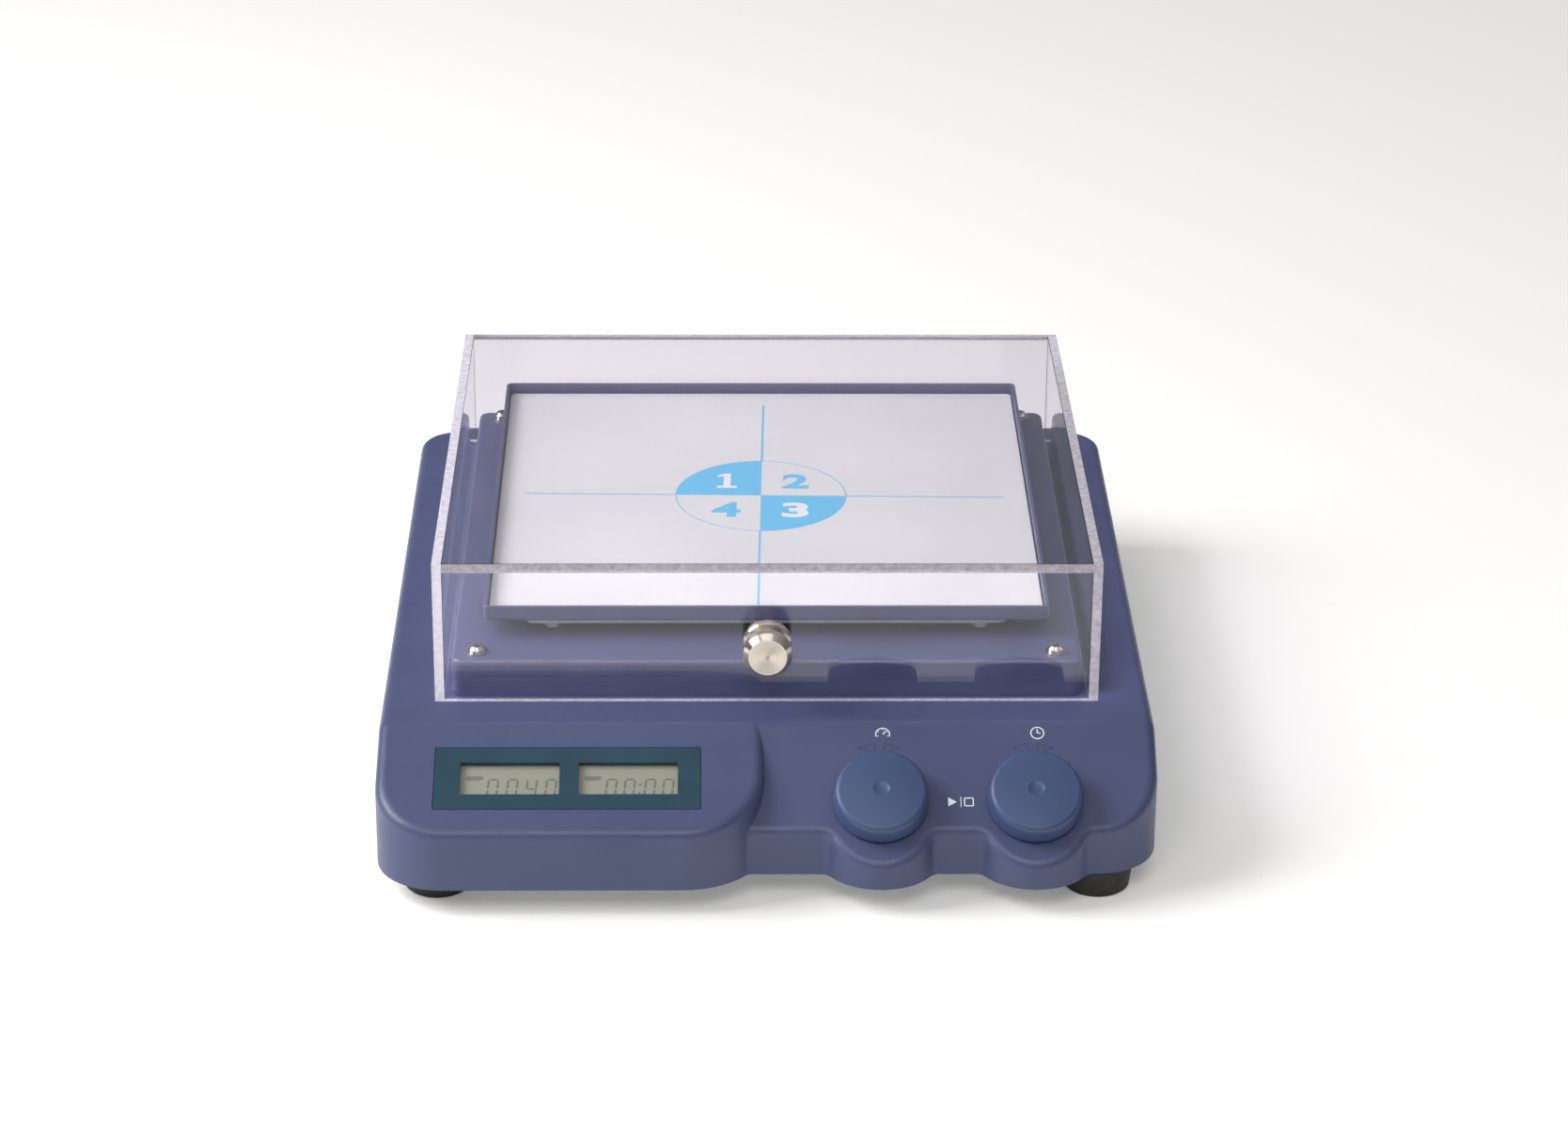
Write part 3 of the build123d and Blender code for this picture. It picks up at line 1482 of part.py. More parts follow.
drawer_top = rear_parts_z - drawer_drop + drawer_height / 2
with BuildPart() as fuse_drawer:
    with BuildSketch(flange_seat):
        with Locations((-inlet_x, -drawer_drop)):
            Rectangle(drawer_width, drawer_height)
    extrude(amount=-drawer_depth)
    with BuildSketch(flange_seat):
        with Locations((-inlet_x, -drawer_drop - drawer_height / 2 + 1)):
            Rectangle(0.4 * drawer_width, 2)
    extrude(amount=-1, mode=Mode.SUBTRACT)
    with BuildSketch(Plane.YZ.offset(inlet_x - fuse_length / 2)):
        with Locations((rear_y - rear_pocket - drawer_depth / 2, drawer_top)):
            Circle(fuse_radius)
    extrude(amount=fuse_length, mode=Mode.SUBTRACT)
save(fuse_drawer, "fuse_drawer")

# Power switch: a frame in the same pocket and a rocker on stub pins

frame_width = switch_width - 2 - 2 * running_gap
frame_height = switch_height - 2 - 2 * running_gap
rocker_room = 0.3
with BuildPart() as switch_frame:
    with BuildSketch(pocket_seat):
        with Locations((-switch_x, 0)):
            RectangleRounded(switch_width, switch_height, 1.5)
    extrude(amount=rear_flange)
    with BuildSketch(pocket_seat):
        with Locations((-switch_x, 0)):
            Rectangle(frame_width, frame_height)
    extrude(amount=-switch_depth)
    with BuildSketch(flange_seat):
        with Locations((-switch_x, 0)):
            Rectangle(rocker_width + 2 * rocker_room, rocker_height + 1.6)
    extrude(amount=-rear_flange - 8, mode=Mode.SUBTRACT)
    with BuildSketch(Plane.YZ.offset(switch_x - rocker_width / 2 - rocker_room - 0.5)):
        with Locations((rear_y - rear_pocket, rear_parts_z)):
            Circle(rocker_pin_radius + running_gap)
    extrude(amount=rocker_width + 2 * rocker_room + 1, mode=Mode.SUBTRACT)
save(switch_frame, "switch_frame")

rocker_side = Plane(
    origin=(switch_x - rocker_width / 2, rear_y - rear_pocket, rear_parts_z),
    x_dir=(0, cos(radians(rocker_tilt)), sin(radians(rocker_tilt))),
    z_dir=(1, 0, 0),
)
with BuildPart() as power_rocker:
    with BuildSketch(rocker_side):
        with BuildLine():
            Polyline(
                (2.6, rocker_height / 2),
                (1.2, 0),
                (2.6, -rocker_height / 2),
                (0, -rocker_height / 2),
                (-4, -rocker_height / 4),
                (-4, rocker_height / 4),
                (0, rocker_height / 2),
                close=True,
            )
        make_face()
    extrude(amount=rocker_width)
    with BuildSketch(rocker_side.offset(-rocker_room - 0.4)):
        Circle(rocker_pin_radius)
    extrude(amount=rocker_width + 2 * rocker_room + 0.8)
save(power_rocker, "power_rocker")
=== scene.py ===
import json
import math

import bmesh
import bpy
from mathutils import Matrix, Vector


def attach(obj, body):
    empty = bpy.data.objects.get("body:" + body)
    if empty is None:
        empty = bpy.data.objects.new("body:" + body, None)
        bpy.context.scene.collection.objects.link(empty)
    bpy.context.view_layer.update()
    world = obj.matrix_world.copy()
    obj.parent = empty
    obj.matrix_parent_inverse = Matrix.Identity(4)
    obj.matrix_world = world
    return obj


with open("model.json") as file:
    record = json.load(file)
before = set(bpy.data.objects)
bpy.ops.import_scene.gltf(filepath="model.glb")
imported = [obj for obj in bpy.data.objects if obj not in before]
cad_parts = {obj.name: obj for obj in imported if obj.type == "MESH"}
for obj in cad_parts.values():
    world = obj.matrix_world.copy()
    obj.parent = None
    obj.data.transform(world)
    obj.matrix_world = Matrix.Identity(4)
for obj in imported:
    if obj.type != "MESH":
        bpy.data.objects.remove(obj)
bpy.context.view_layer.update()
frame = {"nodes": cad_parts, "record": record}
nodes = frame["nodes"]

MM = 0.001

# Places and sizes on the object, in metres, as the part's source gives them
DECK_Z = 61 * MM
CREASE_Y = -128 * MM
PANEL_SLOPE = math.radians(34)
POD_SLOPE = math.radians(22)
WINDOW_X = -83 * MM
WINDOW_DOWN = 30.25 * MM
SCREEN_SPACING = 49 * MM
SCREEN_OFFSET = 0.6 * MM
SCREEN_SIZE = (41.2 * MM, 17.1 * MM)
LCD_DEPTH = 2.4 * MM
KNOB_XS = (46.6 * MM, 110.6 * MM)
PULL_KNOB_PLACE = Vector((0, -108.5 * MM, 89.5 * MM))

# How far a printed mark stands out of the face under it
PRINT_LIFT = 0.04 * MM


# Colours are written as they look on a screen, from 0 to 255

def linear(channel):
    value = channel / 255
    return value / 12.92 if value <= 0.04045 else ((value + 0.055) / 1.055) ** 2.4


def rgba(red, green, blue, alpha=1.0):
    return (linear(red), linear(green), linear(blue), alpha)


def darker(colour, share):
    """The colour with its light cut down to a share."""
    return tuple(share * channel for channel in colour[:3]) + (1.0,)


# Node helpers: lengths in the materials are metres

# The colour sockets of a Mix node, by number because other kinds share their names
MIX_COLOURS = (6, 7)
MIX_RESULT = 2


class Tree:
    """A material's node tree with short calls for what the materials below share."""

    def __init__(self, name):
        self.material = bpy.data.materials.new(name)
        self.material.use_nodes = True
        self.nodes = self.material.node_tree.nodes
        self.links = self.material.node_tree.links
        self.shader = self.nodes["Principled BSDF"]
        self.output = self.nodes["Material Output"]
        self.place = self.add("ShaderNodeTexCoord").outputs["Object"]

    def add(self, kind, inputs=None, **settings):
        """A new node with its settings, and with plain values in the inputs named or numbered."""
        node = self.nodes.new(kind)
        for key, value in settings.items():
            setattr(node, key, value)
        for key, value in (inputs or {}).items():
            node.inputs[key].default_value = value
        return node

    def join(self, source, target):
        self.links.new(source, target)

    def set(self, **values):
        for key, value in values.items():
            self.shader.inputs[key.replace("_", " ")].default_value = value

    def noise(self, size, detail=3.0, roughness=0.5, stretch=None):
        """Noise whose blotches are about size metres across."""
        values = {"Scale": 1 / size, "Detail": detail, "Roughness": roughness}
        node = self.add("ShaderNodeTexNoise", values)
        if stretch is None:
            self.join(self.place, node.inputs["Vector"])
        else:
            mapping = self.add("ShaderNodeMapping", {"Scale": stretch})
            self.join(self.place, mapping.inputs["Vector"])
            self.join(mapping.outputs["Vector"], node.inputs["Vector"])
        return node.outputs["Fac"]

    def span(self, source, low, high, first=0.0, last=1.0):
        """source remapped from low..high to first..last, held inside that."""
        values = {"From Min": low, "From Max": high, "To Min": first, "To Max": last}
        node = self.add("ShaderNodeMapRange", values)
        self.join(source, node.inputs["Value"])
        return node.outputs["Result"]

    def blend(self, factor, first, second):
        """A colour between two, each given as a socket or as a colour."""
        node = self.add("ShaderNodeMix", data_type="RGBA")
        for index, value in zip(MIX_COLOURS, (first, second)):
            if isinstance(value, tuple):
                node.inputs[index].default_value = value
            else:
                self.join(value, node.inputs[index])
        self.join(factor, node.inputs[0])
        return node.outputs[MIX_RESULT]

    def bump(self, height, depth, strength=1.0, after=None):
        """Relief of depth metres from a 0..1 height, chained after another bump."""
        node = self.add("ShaderNodeBump", {"Strength": strength, "Distance": depth})
        self.join(height, node.inputs["Height"])
        if after is not None:
            self.join(after, node.inputs["Normal"])
        return node.outputs["Normal"]

    def colour(self, source):
        self.join(source, self.shader.inputs["Base Color"])

    def rough(self, source):
        self.join(source, self.shader.inputs["Roughness"])

    def normal(self, source):
        self.join(source, self.shader.inputs["Normal"])

    def mixed(self, factor, first, second):
        """Two shaders mixed by a factor, given as a socket or as a number."""
        node = self.add("ShaderNodeMixShader")
        if isinstance(factor, float):
            node.inputs[0].default_value = factor
        else:
            self.join(factor, node.inputs[0])
        self.join(first, node.inputs[1])
        self.join(second, node.inputs[2])
        return node.outputs[0]

    def surface(self, source):
        self.join(source, self.output.inputs["Surface"])


# Dust: how far apart its places lie, the share of them that stay clear, and its colour
DUST_SPACING = 0.006
DUST_CLEAR = 0.93
DUST_COLOUR = (205, 208, 220)


def moulded(name, base, shade, rough=(0.36, 0.46), grain=0.00035, depth=0.000012, specks=0.5):
    """A moulded or sprayed satin skin: fine grain, slow waves, drifting tone, a little dust."""
    tree = Tree(name)
    tone = tree.span(tree.noise(0.05, 4), 0.35, 0.65)
    colour = tree.blend(tone, base, shade)
    if specks:
        values = {"Scale": 1 / DUST_SPACING, "Randomness": 1.0}
        dust = tree.add("ShaderNodeTexVoronoi", values, feature="F1")
        tree.join(tree.place, dust.inputs["Vector"])
        near = tree.span(dust.outputs["Distance"], 0.012, 0.03, 1.0, 0.0)
        rare = tree.span(dust.outputs["Color"], DUST_CLEAR, DUST_CLEAR + 0.01)
        share = tree.add("ShaderNodeMath", operation="MULTIPLY")
        tree.join(near, share.inputs[0])
        tree.join(rare, share.inputs[1])
        faint = tree.add("ShaderNodeMath", {1: specks}, operation="MULTIPLY")
        tree.join(share.outputs[0], faint.inputs[0])
        colour = tree.blend(faint.outputs[0], colour, rgba(*DUST_COLOUR))
    tree.colour(colour)
    tree.rough(tree.span(tree.noise(0.012, 5, 0.6), 0.3, 0.7, rough[0], rough[1]))
    waves = tree.bump(tree.noise(0.02, 2), 0.00003, 0.5)
    tree.normal(tree.bump(tree.noise(grain, 2), depth, 1.0, waves))
    tree.set(Specular_IOR_Level=0.5)
    return tree.material


def metal(name, base, rough, brushed=None, marks=0.06):
    """Metal with faint handling marks, and with fine lines along an axis when brushed."""
    tree = Tree(name)
    tone = tree.span(tree.noise(0.004, 4), 0.3, 0.7)
    tree.colour(tree.blend(tone, darker(base, 0.82), base))
    tree.set(Metallic=1.0)
    tree.rough(tree.span(tree.noise(0.0015, 4, 0.6), 0.3, 0.7, rough, rough + marks))
    if brushed:
        lines = tree.noise(0.0004, 3, 0.6, stretch=brushed)
        tree.normal(tree.bump(lines, 0.000006, 0.6))
    else:
        tree.normal(tree.bump(tree.noise(0.003, 3), 0.00001, 0.25))
    return tree.material


def turned_face(name, base, rough, origin, axis):
    """Bright metal turned about the axis through origin: fine rings and fanned shine."""
    tree = Tree(name)
    tree.set(Metallic=1.0)
    moved = tree.add("ShaderNodeVectorMath", {1: origin}, operation="SUBTRACT")
    tree.join(tree.place, moved.inputs[0])
    split = tree.add("ShaderNodeSeparateXYZ")
    tree.join(moved.outputs[0], split.inputs[0])
    flat = tree.add("ShaderNodeCombineXYZ")
    for letter in "XYZ".replace(axis, ""):
        tree.join(split.outputs[letter], flat.inputs[letter])
    radius = tree.add("ShaderNodeVectorMath", operation="LENGTH")
    tree.join(flat.outputs[0], radius.inputs[0])
    along = tree.add("ShaderNodeCombineXYZ")
    tree.join(radius.outputs["Value"], along.inputs["X"])
    tree.join(split.outputs[axis], along.inputs["Y"])
    turning = tree.add("ShaderNodeTexNoise", {"Scale": 1 / 0.00025, "Detail": 3})
    tree.join(along.outputs[0], turning.inputs["Vector"])
    rings = turning.outputs["Fac"]
    tree.colour(tree.blend(tree.span(rings, 0.3, 0.7), base, darker(base, 0.86)))
    tree.rough(tree.span(rings, 0.3, 0.7, rough, rough + 0.08))
    tree.normal(tree.bump(rings, 0.000008, 0.7))
    around = tree.add("ShaderNodeTangent", direction_type="RADIAL", axis=axis)
    tree.join(around.outputs[0], tree.shader.inputs["Tangent"])
    tree.set(Anisotropic=0.9, Anisotropic_Rotation=0.25)
    return tree.material


def acrylic():
    """Clear cast sheet with a faint violet body, soft handling haze and lamps let through."""
    tree = Tree("clear_acrylic")
    tree.set(Transmission_Weight=1.0, IOR=1.49, Base_Color=rgba(250, 248, 254))
    tree.rough(tree.span(tree.noise(0.03, 5, 0.65), 0.45, 0.8, 0.0, 0.035))
    tree.normal(tree.bump(tree.noise(0.09, 2), 0.00004, 0.25))
    clear = tree.add("ShaderNodeBsdfTransparent", {"Color": rgba(250, 249, 252)})
    shadow = tree.add("ShaderNodeLightPath").outputs["Is Shadow Ray"]
    tree.surface(tree.mixed(shadow, tree.shader.outputs[0], clear.outputs[0]))
    return tree.material


def acrylic_edge():
    """A sawn and polished edge of the sheet, which scatters the light piped to it."""
    tree = Tree("clear_acrylic_edge")
    tree.set(Transmission_Weight=0.75, IOR=1.49, Base_Color=rgba(246, 242, 252), Roughness=0.12)
    glow = tree.add("ShaderNodeBsdfDiffuse", {"Color": rgba(250, 247, 255)})
    through = tree.add("ShaderNodeBsdfTranslucent", {"Color": rgba(250, 244, 255)})
    milky = tree.mixed(0.5, glow.outputs[0], through.outputs[0])
    saw = tree.span(tree.noise(0.0025, 4, 0.6), 0.3, 0.7, 0.15, 0.5)
    tree.surface(tree.mixed(saw, tree.shader.outputs[0], milky))
    return tree.material


def rubber():
    """Moulded rubber: matt, dark and a little worn."""
    tree = Tree("rubber_black")
    tone = tree.span(tree.noise(0.004, 5), 0.35, 0.65)
    tree.colour(tree.blend(tone, rgba(24, 23, 23), rgba(38, 36, 35)))
    tree.rough(tree.span(tree.noise(0.002, 4), 0.3, 0.7, 0.5, 0.72))
    tree.normal(tree.bump(tree.noise(0.0006, 3), 0.00003, 0.6))
    return tree.material


def mat_surface():
    """Satin printed laminate: almost even white-grey, with faint waviness and scuffs."""
    tree = Tree("mat_white")
    tone = tree.span(tree.noise(0.07, 4), 0.35, 0.65)
    base = tree.blend(tone, rgba(194, 195, 192), rgba(200, 201, 198))
    scuffs = tree.span(tree.noise(0.006, 6, 0.7, stretch=(1.0, 0.25, 1.0)), 0.62, 0.78, 0.0, 0.25)
    tree.colour(tree.blend(scuffs, base, rgba(182, 184, 183)))
    tree.rough(tree.span(tree.noise(0.01, 4), 0.3, 0.7, 0.34, 0.5))
    tree.normal(tree.bump(tree.noise(0.03, 2), 0.0001, 0.25))
    return tree.material


def printed(name, colour, thin=0.1, rough=0.45):
    """Screen-printed ink, a little uneven, with pinholes left by the mesh. It also makes the
    near-black painted shade laid in the screw recesses.
    """
    tree = Tree(name)
    pale = tuple(min(1.0, 1.25 * channel + 0.02) for channel in colour[:3]) + (1.0,)
    worn = tree.span(tree.noise(0.0012, 4), 0.4, 0.75, 0.0, thin)
    tree.colour(tree.blend(worn, colour, pale))
    tree.rough(tree.span(tree.noise(0.001, 3), 0.3, 0.7, rough, rough + 0.12))
    return tree.material


def window_gloss():
    """The display window's tinted plastic, between satin and gloss."""
    tree = Tree("window_teal")
    tone = tree.span(tree.noise(0.02, 3), 0.35, 0.65)
    tree.colour(tree.blend(tone, rgba(38, 62, 77), rgba(42, 67, 82)))
    tree.rough(tree.span(tree.noise(0.008, 5, 0.7), 0.45, 0.75, 0.3, 0.45))
    tree.normal(tree.bump(tree.noise(0.03, 2), 0.00004, 0.3))
    tree.set(Specular_IOR_Level=0.25)
    return tree.material


def lcd_glass():
    """Liquid-crystal glass over its reflector: grey-green, with a fine pearly grain."""
    tree = Tree("lcd_grey")
    tone = tree.span(tree.noise(0.00025, 2), 0.35, 0.65)
    tree.colour(tree.blend(tone, rgba(136, 138, 125), rgba(145, 146, 133)))
    tree.rough(tree.span(tree.noise(0.004, 4), 0.3, 0.7, 0.3, 0.4))
    tree.set(Specular_IOR_Level=0.3)
    return tree.material


def board():
    """Circuit board varnish with copper showing darker through it."""
    tree = Tree("board_green")
    tracks = tree.span(tree.noise(0.002, 1, stretch=(1.0, 3.0, 1.0)), 0.48, 0.52)
    tree.colour(tree.blend(tracks, rgba(18, 74, 44), rgba(26, 92, 56)))
    tree.set(Roughness=0.35)
    return tree.material


# One material for each slot that the record names

MATERIALS = {
    "housing_slate": moulded("housing_slate", rgba(63, 71, 106), rgba(67, 75, 110)),
    "paint_slate": moulded(
        "paint_slate", rgba(62, 67, 98), rgba(67, 72, 103),
        rough=(0.3, 0.42), grain=0.0008, depth=0.00002, specks=0.35,
    ),
    "knob_blue": moulded(
        "knob_blue", rgba(52, 69, 108), rgba(57, 74, 113),
        rough=(0.38, 0.5), grain=0.0004, depth=0.000012, specks=0.25,
    ),
    "clear_acrylic": acrylic(),
    "mat_white": mat_surface(),
    "window_teal": window_gloss(),
    "lcd_grey": lcd_glass(),
    "nickel": metal("nickel", rgba(212, 206, 198), 0.14),
    "brass": metal("brass", rgba(206, 172, 104), 0.24),
    "rubber_black": rubber(),
    "plastic_black": moulded(
        "plastic_black", rgba(30, 30, 32), rgba(36, 36, 38),
        rough=(0.36, 0.5), grain=0.0005, depth=0.00002, specks=0.2,
    ),
    "steel": metal("steel", rgba(190, 190, 190), 0.24),
    "zinc_plate": metal("zinc_plate", rgba(186, 188, 190), 0.34, brushed=(0.05, 1.0, 1.0)),
    "cast_aluminium": metal("cast_aluminium", rgba(196, 197, 199), 0.38),
    "motor_black": moulded(
        "motor_black", rgba(34, 34, 37), rgba(40, 40, 43),
        rough=(0.3, 0.42), grain=0.0008, depth=0.00002, specks=0.0,
    ),
    "board_green": board(),
}

slot_of = {entry["node"]: entry["material_slot"] for entry in frame["record"]["subparts"]}
for node, piece in nodes.items():
    piece.data.materials.clear()
    piece.data.materials.append(MATERIALS[slot_of[node]])

# The hood's sheets, each with the axis that its two faces look along, 0 to 2 for X to Z.
# Their free edges take the edge's look. Those bonded to a neighbour stay clear.
HOOD_SHEETS = {"hood_left": 0, "hood_right": 0, "hood_front": 1, "hood_back": 1, "hood_top": 2}
LOOKS_ALONG = 0.9
edge_look = acrylic_edge()
for sheet, face_axis in HOOD_SHEETS.items():
    shape = nodes[sheet].data
    shape.materials.append(edge_look)
    for face in shape.polygons:
        bonded = face_axis != 0 and abs(face.normal.x) > LOOKS_ALONG
        bonded = bonded or (face_axis == 1 and face.normal.z > LOOKS_ALONG)
        if abs(face.normal[face_axis]) < LOOKS_ALONG and not bonded:
            face.material_index = 1

nodes["pull_knob"].data.materials[0] = turned_face(
    "pull_nickel", rgba(214, 205, 194), 0.22, PULL_KNOB_PLACE, "Y"
)

# Roundings: the width in metres, the number of segments and the pieces
ROUNDINGS = (
    (0.35 * MM, 2, tuple(HOOD_SHEETS)),
    (0.2 * MM, 2, ("display_window", "hinge_deck_leaves", "hinge_hood_leaves")),
    (0.2 * MM, 2, ("power_inlet", "switch_frame", "fuse_drawer")),
    (0.5 * MM, 3, ("power_rocker",)),
    (0.15 * MM, 2, ("tray_mat",)),
)
SHARP_ANGLE = math.radians(40)


def soften(node, width, segments):
    """A small rounding on a CAD piece's sharp edges, so that they catch light as real ones do."""
    bevel = nodes[node].modifiers.new("rounding", "BEVEL")
    bevel.width = width
    bevel.segments = segments
    bevel.limit_method = "ANGLE"
    bevel.angle_limit = SHARP_ANGLE
    bevel.use_clamp_overlap = True
    bevel.harden_normals = False


for width, segments, pieces in ROUNDINGS:
    for piece in pieces:
        soften(piece, width, segments)


# Pieces made here

def seat(origin, slope=0.0):
    """A frame on a face that falls to the front by slope: local Y runs up it, and Z out."""
    return Matrix.Translation(origin) @ Matrix.Rotation(slope, 4, "X")


def down_slope(x, down, slope):
    """The place on a sloped face at a distance down from the crease."""
    point = Vector((x, CREASE_Y - down * math.cos(slope), DECK_Z - down * math.sin(slope)))
    return seat(point, slope)


def in_scene(name, data):
    """A new object in the scene with the data given."""
    made = bpy.data.objects.new(name, data)
    bpy.context.scene.collection.objects.link(made)
    return made


def mesh_in_scene(name, mesh, material):
    """A new object in the scene from a bmesh, which is used up."""
    data = bpy.data.meshes.new(name)
    mesh.to_mesh(data)
    mesh.free()
    made = in_scene(name, data)
    data.materials.append(material)
    return made


def piece_from(name, mesh, material, body):
    """A new piece from a bmesh, riding on a body."""
    made = mesh_in_scene(name, mesh, material)
    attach(made, body)


def add_plate(mesh, outline, place, thickness):
    """A thin raised plate with the outline, in place's plane: its top and sides, open below."""
    top = [mesh.verts.new(place @ Vector((x, y, thickness))) for x, y in outline]
    low = [mesh.verts.new(place @ Vector((x, y, 0))) for x, y in outline]
    mesh.faces.new(top)
    count = len(outline)
    for index in range(count):
        after = (index + 1) % count
        mesh.faces.new((low[index], low[after], top[after], top[index]))


def add_ring(mesh, radius, width, place, thickness, steps=96, start=0.0, turn=2 * math.pi):
    """A flat ring or arc, raised by thickness: its top and sides, open below."""
    closed = abs(turn - 2 * math.pi) < 1e-6
    count = steps if closed else steps + 1
    inner, outer = radius - width / 2, radius + width / 2
    corners = ((inner, 0), (inner, thickness), (outer, thickness), (outer, 0))
    rows = []
    for step in range(count):
        angle = start + turn * step / steps
        spoke = Vector((math.cos(angle), math.sin(angle), 0))
        rows.append([mesh.verts.new(place @ (spoke * r + Vector((0, 0, z)))) for r, z in corners])
    for index in range(count if closed else count - 1):
        here, there = rows[index], rows[(index + 1) % count]
        for side in range(len(corners) - 1):
            mesh.faces.new((here[side], there[side], there[side + 1], here[side + 1]))


def stroke(start, end, width):
    """The outline of a straight printed line."""
    a, b = Vector(start), Vector(end)
    side = (b - a).normalized().orthogonal() * width / 2
    return [tuple(a - side), tuple(b - side), tuple(b + side), tuple(a + side)]


# Print on the mat: two crossing lines and a quartered disc with the numbers 1 to 4

PRINT_CENTRE = Vector((-1.2 * MM, 38.7 * MM, 88 * MM))
PRINT_TURN = math.radians(-1.2)
DISC_RADIUS = 38.5 * MM
DISC_LINE = 0.5 * MM
CROSS_LINE = 0.9 * MM
CROSS_REACH = {"left": 106.5 * MM, "right": 109.5 * MM, "front": 116.4 * MM, "back": 104 * MM}
ink_blue = printed("ink_blue", rgba(84, 168, 202))
ink_paper = printed("ink_paper", rgba(208, 210, 208), 0.05)
print_seat = Matrix.Translation(PRINT_CENTRE) @ Matrix.Rotation(PRINT_TURN, 4, "Z")


def text_mesh(text, width, height, place, thickness, bold):
    """A bmesh of flat lettering, thickened by bold, that fills width by height around place."""
    curve = bpy.data.curves.new("lettering", "FONT")
    curve.body = text
    curve.size = height
    curve.extrude = thickness / 2
    curve.offset = bold
    holder = bpy.data.objects.new("lettering", curve)
    data = bpy.data.meshes.new_from_object(holder)
    xs = [vert.co.x for vert in data.vertices]
    ys = [vert.co.y for vert in data.vertices]
    middle = Vector(((min(xs) + max(xs)) / 2, (min(ys) + max(ys)) / 2, -thickness / 2))
    fit = Matrix.Diagonal((width / (max(xs) - min(xs)), height / (max(ys) - min(ys)), 1, 1))
    data.transform(place @ fit @ Matrix.Translation(-middle))
    mesh = bmesh.new()
    mesh.from_mesh(data)
    bpy.data.objects.remove(holder)
    bpy.data.curves.remove(curve)
    bpy.data.meshes.remove(data)
    return mesh


def quarter(radius, start, steps=32):
    """A quarter disc's outline, from its centre round to its end."""
    angles = [start + step / steps * math.pi / 2 for step in range(steps + 1)]
    return [(0.0, 0.0)] + [(radius * math.cos(angle), radius * math.sin(angle)) for angle in angles]


lines = bmesh.new()
mat_lines = (
    ((-CROSS_REACH["left"], 0), (-DISC_RADIUS, 0)),
    ((DISC_RADIUS, 0), (CROSS_REACH["right"], 0)),
    ((0, -CROSS_REACH["front"]), (0, -DISC_RADIUS)),
    ((0, DISC_RADIUS), (0, CROSS_REACH["back"])),
)
for start, end in mat_lines:
    add_plate(lines, stroke(start, end, CROSS_LINE), print_seat, PRINT_LIFT)
add_ring(lines, DISC_RADIUS - DISC_LINE / 2, DISC_LINE, print_seat, PRINT_LIFT)
for start in (math.pi / 2, -math.pi / 2):
    add_plate(lines, quarter(DISC_RADIUS - DISC_LINE, start), print_seat, PRINT_LIFT)
piece_from("mat_print", lines, ink_blue, "orbiting_tray")

NUMBER_HEIGHT = 16 * MM
NUMBER_X = 15.5 * MM
NUMBER_Y = 15.8 * MM
NUMBER_BOLD = 0.6 * MM

# The outline of the 1 in millimetres, because thickening would close up a lettered one
ONE_OUTLINE = (
    (-4.5, -8), (4.5, -8), (4.5, -5.6), (1.6, -5.6), (1.6, 8), (-1, 8),
    (-4.3, 6.2), (-4.3, 3.8), (-1.6, 5), (-1.6, -5.6), (-4.5, -5.6),
)
one = bmesh.new()
one_place = print_seat @ Matrix.Translation((-NUMBER_X, NUMBER_Y, PRINT_LIFT))
add_plate(one, [(x * MM, y * MM) for x, y in ONE_OUTLINE], one_place, PRINT_LIFT)
piece_from("mat_number_1", one, ink_paper, "orbiting_tray")

# The other numbers: the text, its side across and along, whether it stands on ink, its width
NUMBERS = (
    ("2", 1, 1, False, 12 * MM),
    ("3", 1, -1, True, 12 * MM),
    ("4", -1, -1, False, 13 * MM),
)
for text, across, along, on_ink, wide in NUMBERS:
    spot = Vector((across * NUMBER_X, along * NUMBER_Y, PRINT_LIFT if on_ink else 0))
    place = print_seat @ Matrix.Translation(spot)
    glyph = text_mesh(text, wide, NUMBER_HEIGHT, place, PRINT_LIFT, NUMBER_BOLD)
    ink = ink_paper if on_ink else ink_blue
    piece_from(f"mat_number_{text}", glyph, ink, "orbiting_tray")


# Painted shade for the cross recesses in the cover screws: flat dark crosses laid on the screw
# heads where the recesses' shade falls. x and y in millimetres, and the cross's turn in degrees

SCREW_PLACES = ((-122.5, -94, 20), (122.5, -94, 55), (-122.5, 150.8, 75), (122.5, 150.8, 35))
SCREW_TOP = 81.2 * MM
RECESS_REACH = 1.9 * MM
RECESS_WIDTH = 0.75 * MM
# Painted shade: a near-black ink that stands in for the shade inside each cross recess
recess_painted_shade = printed("recess_painted_shade", rgba(34, 32, 30), 0.2, 0.5)
recess_shade_crosses = bmesh.new()
for x, y, turn in SCREW_PLACES:
    middle = Matrix.Translation((x * MM, y * MM, SCREW_TOP))
    middle = middle @ Matrix.Rotation(math.radians(turn), 4, "Z")
    bar = stroke((-RECESS_REACH, 0), (RECESS_REACH, 0), RECESS_WIDTH)
    lower_bar = stroke((0, -RECESS_REACH), (0, RECESS_REACH), RECESS_WIDTH)
    add_plate(recess_shade_crosses, bar, middle, PRINT_LIFT)
    add_plate(recess_shade_crosses, lower_bar, middle, PRINT_LIFT / 2)
piece_from("cover_screw_recess_painted_shade", recess_shade_crosses, recess_painted_shade, "base")


# Screens: slanted seven-segment digits and the small grey status lines of each

DIGIT_HEIGHT = 10.4 * MM
DIGIT_WIDTH = 3.9 * MM
DIGIT_PITCH = 8 * MM
DIGIT_START = 11.2 * MM
DIGIT_SLANT = math.tan(math.radians(5))

# How far the digits' feet reach below the screen, and where they are cut off above them
DIGIT_DROP = 0.5 * MM
DIGIT_CUT = 0.55 * MM

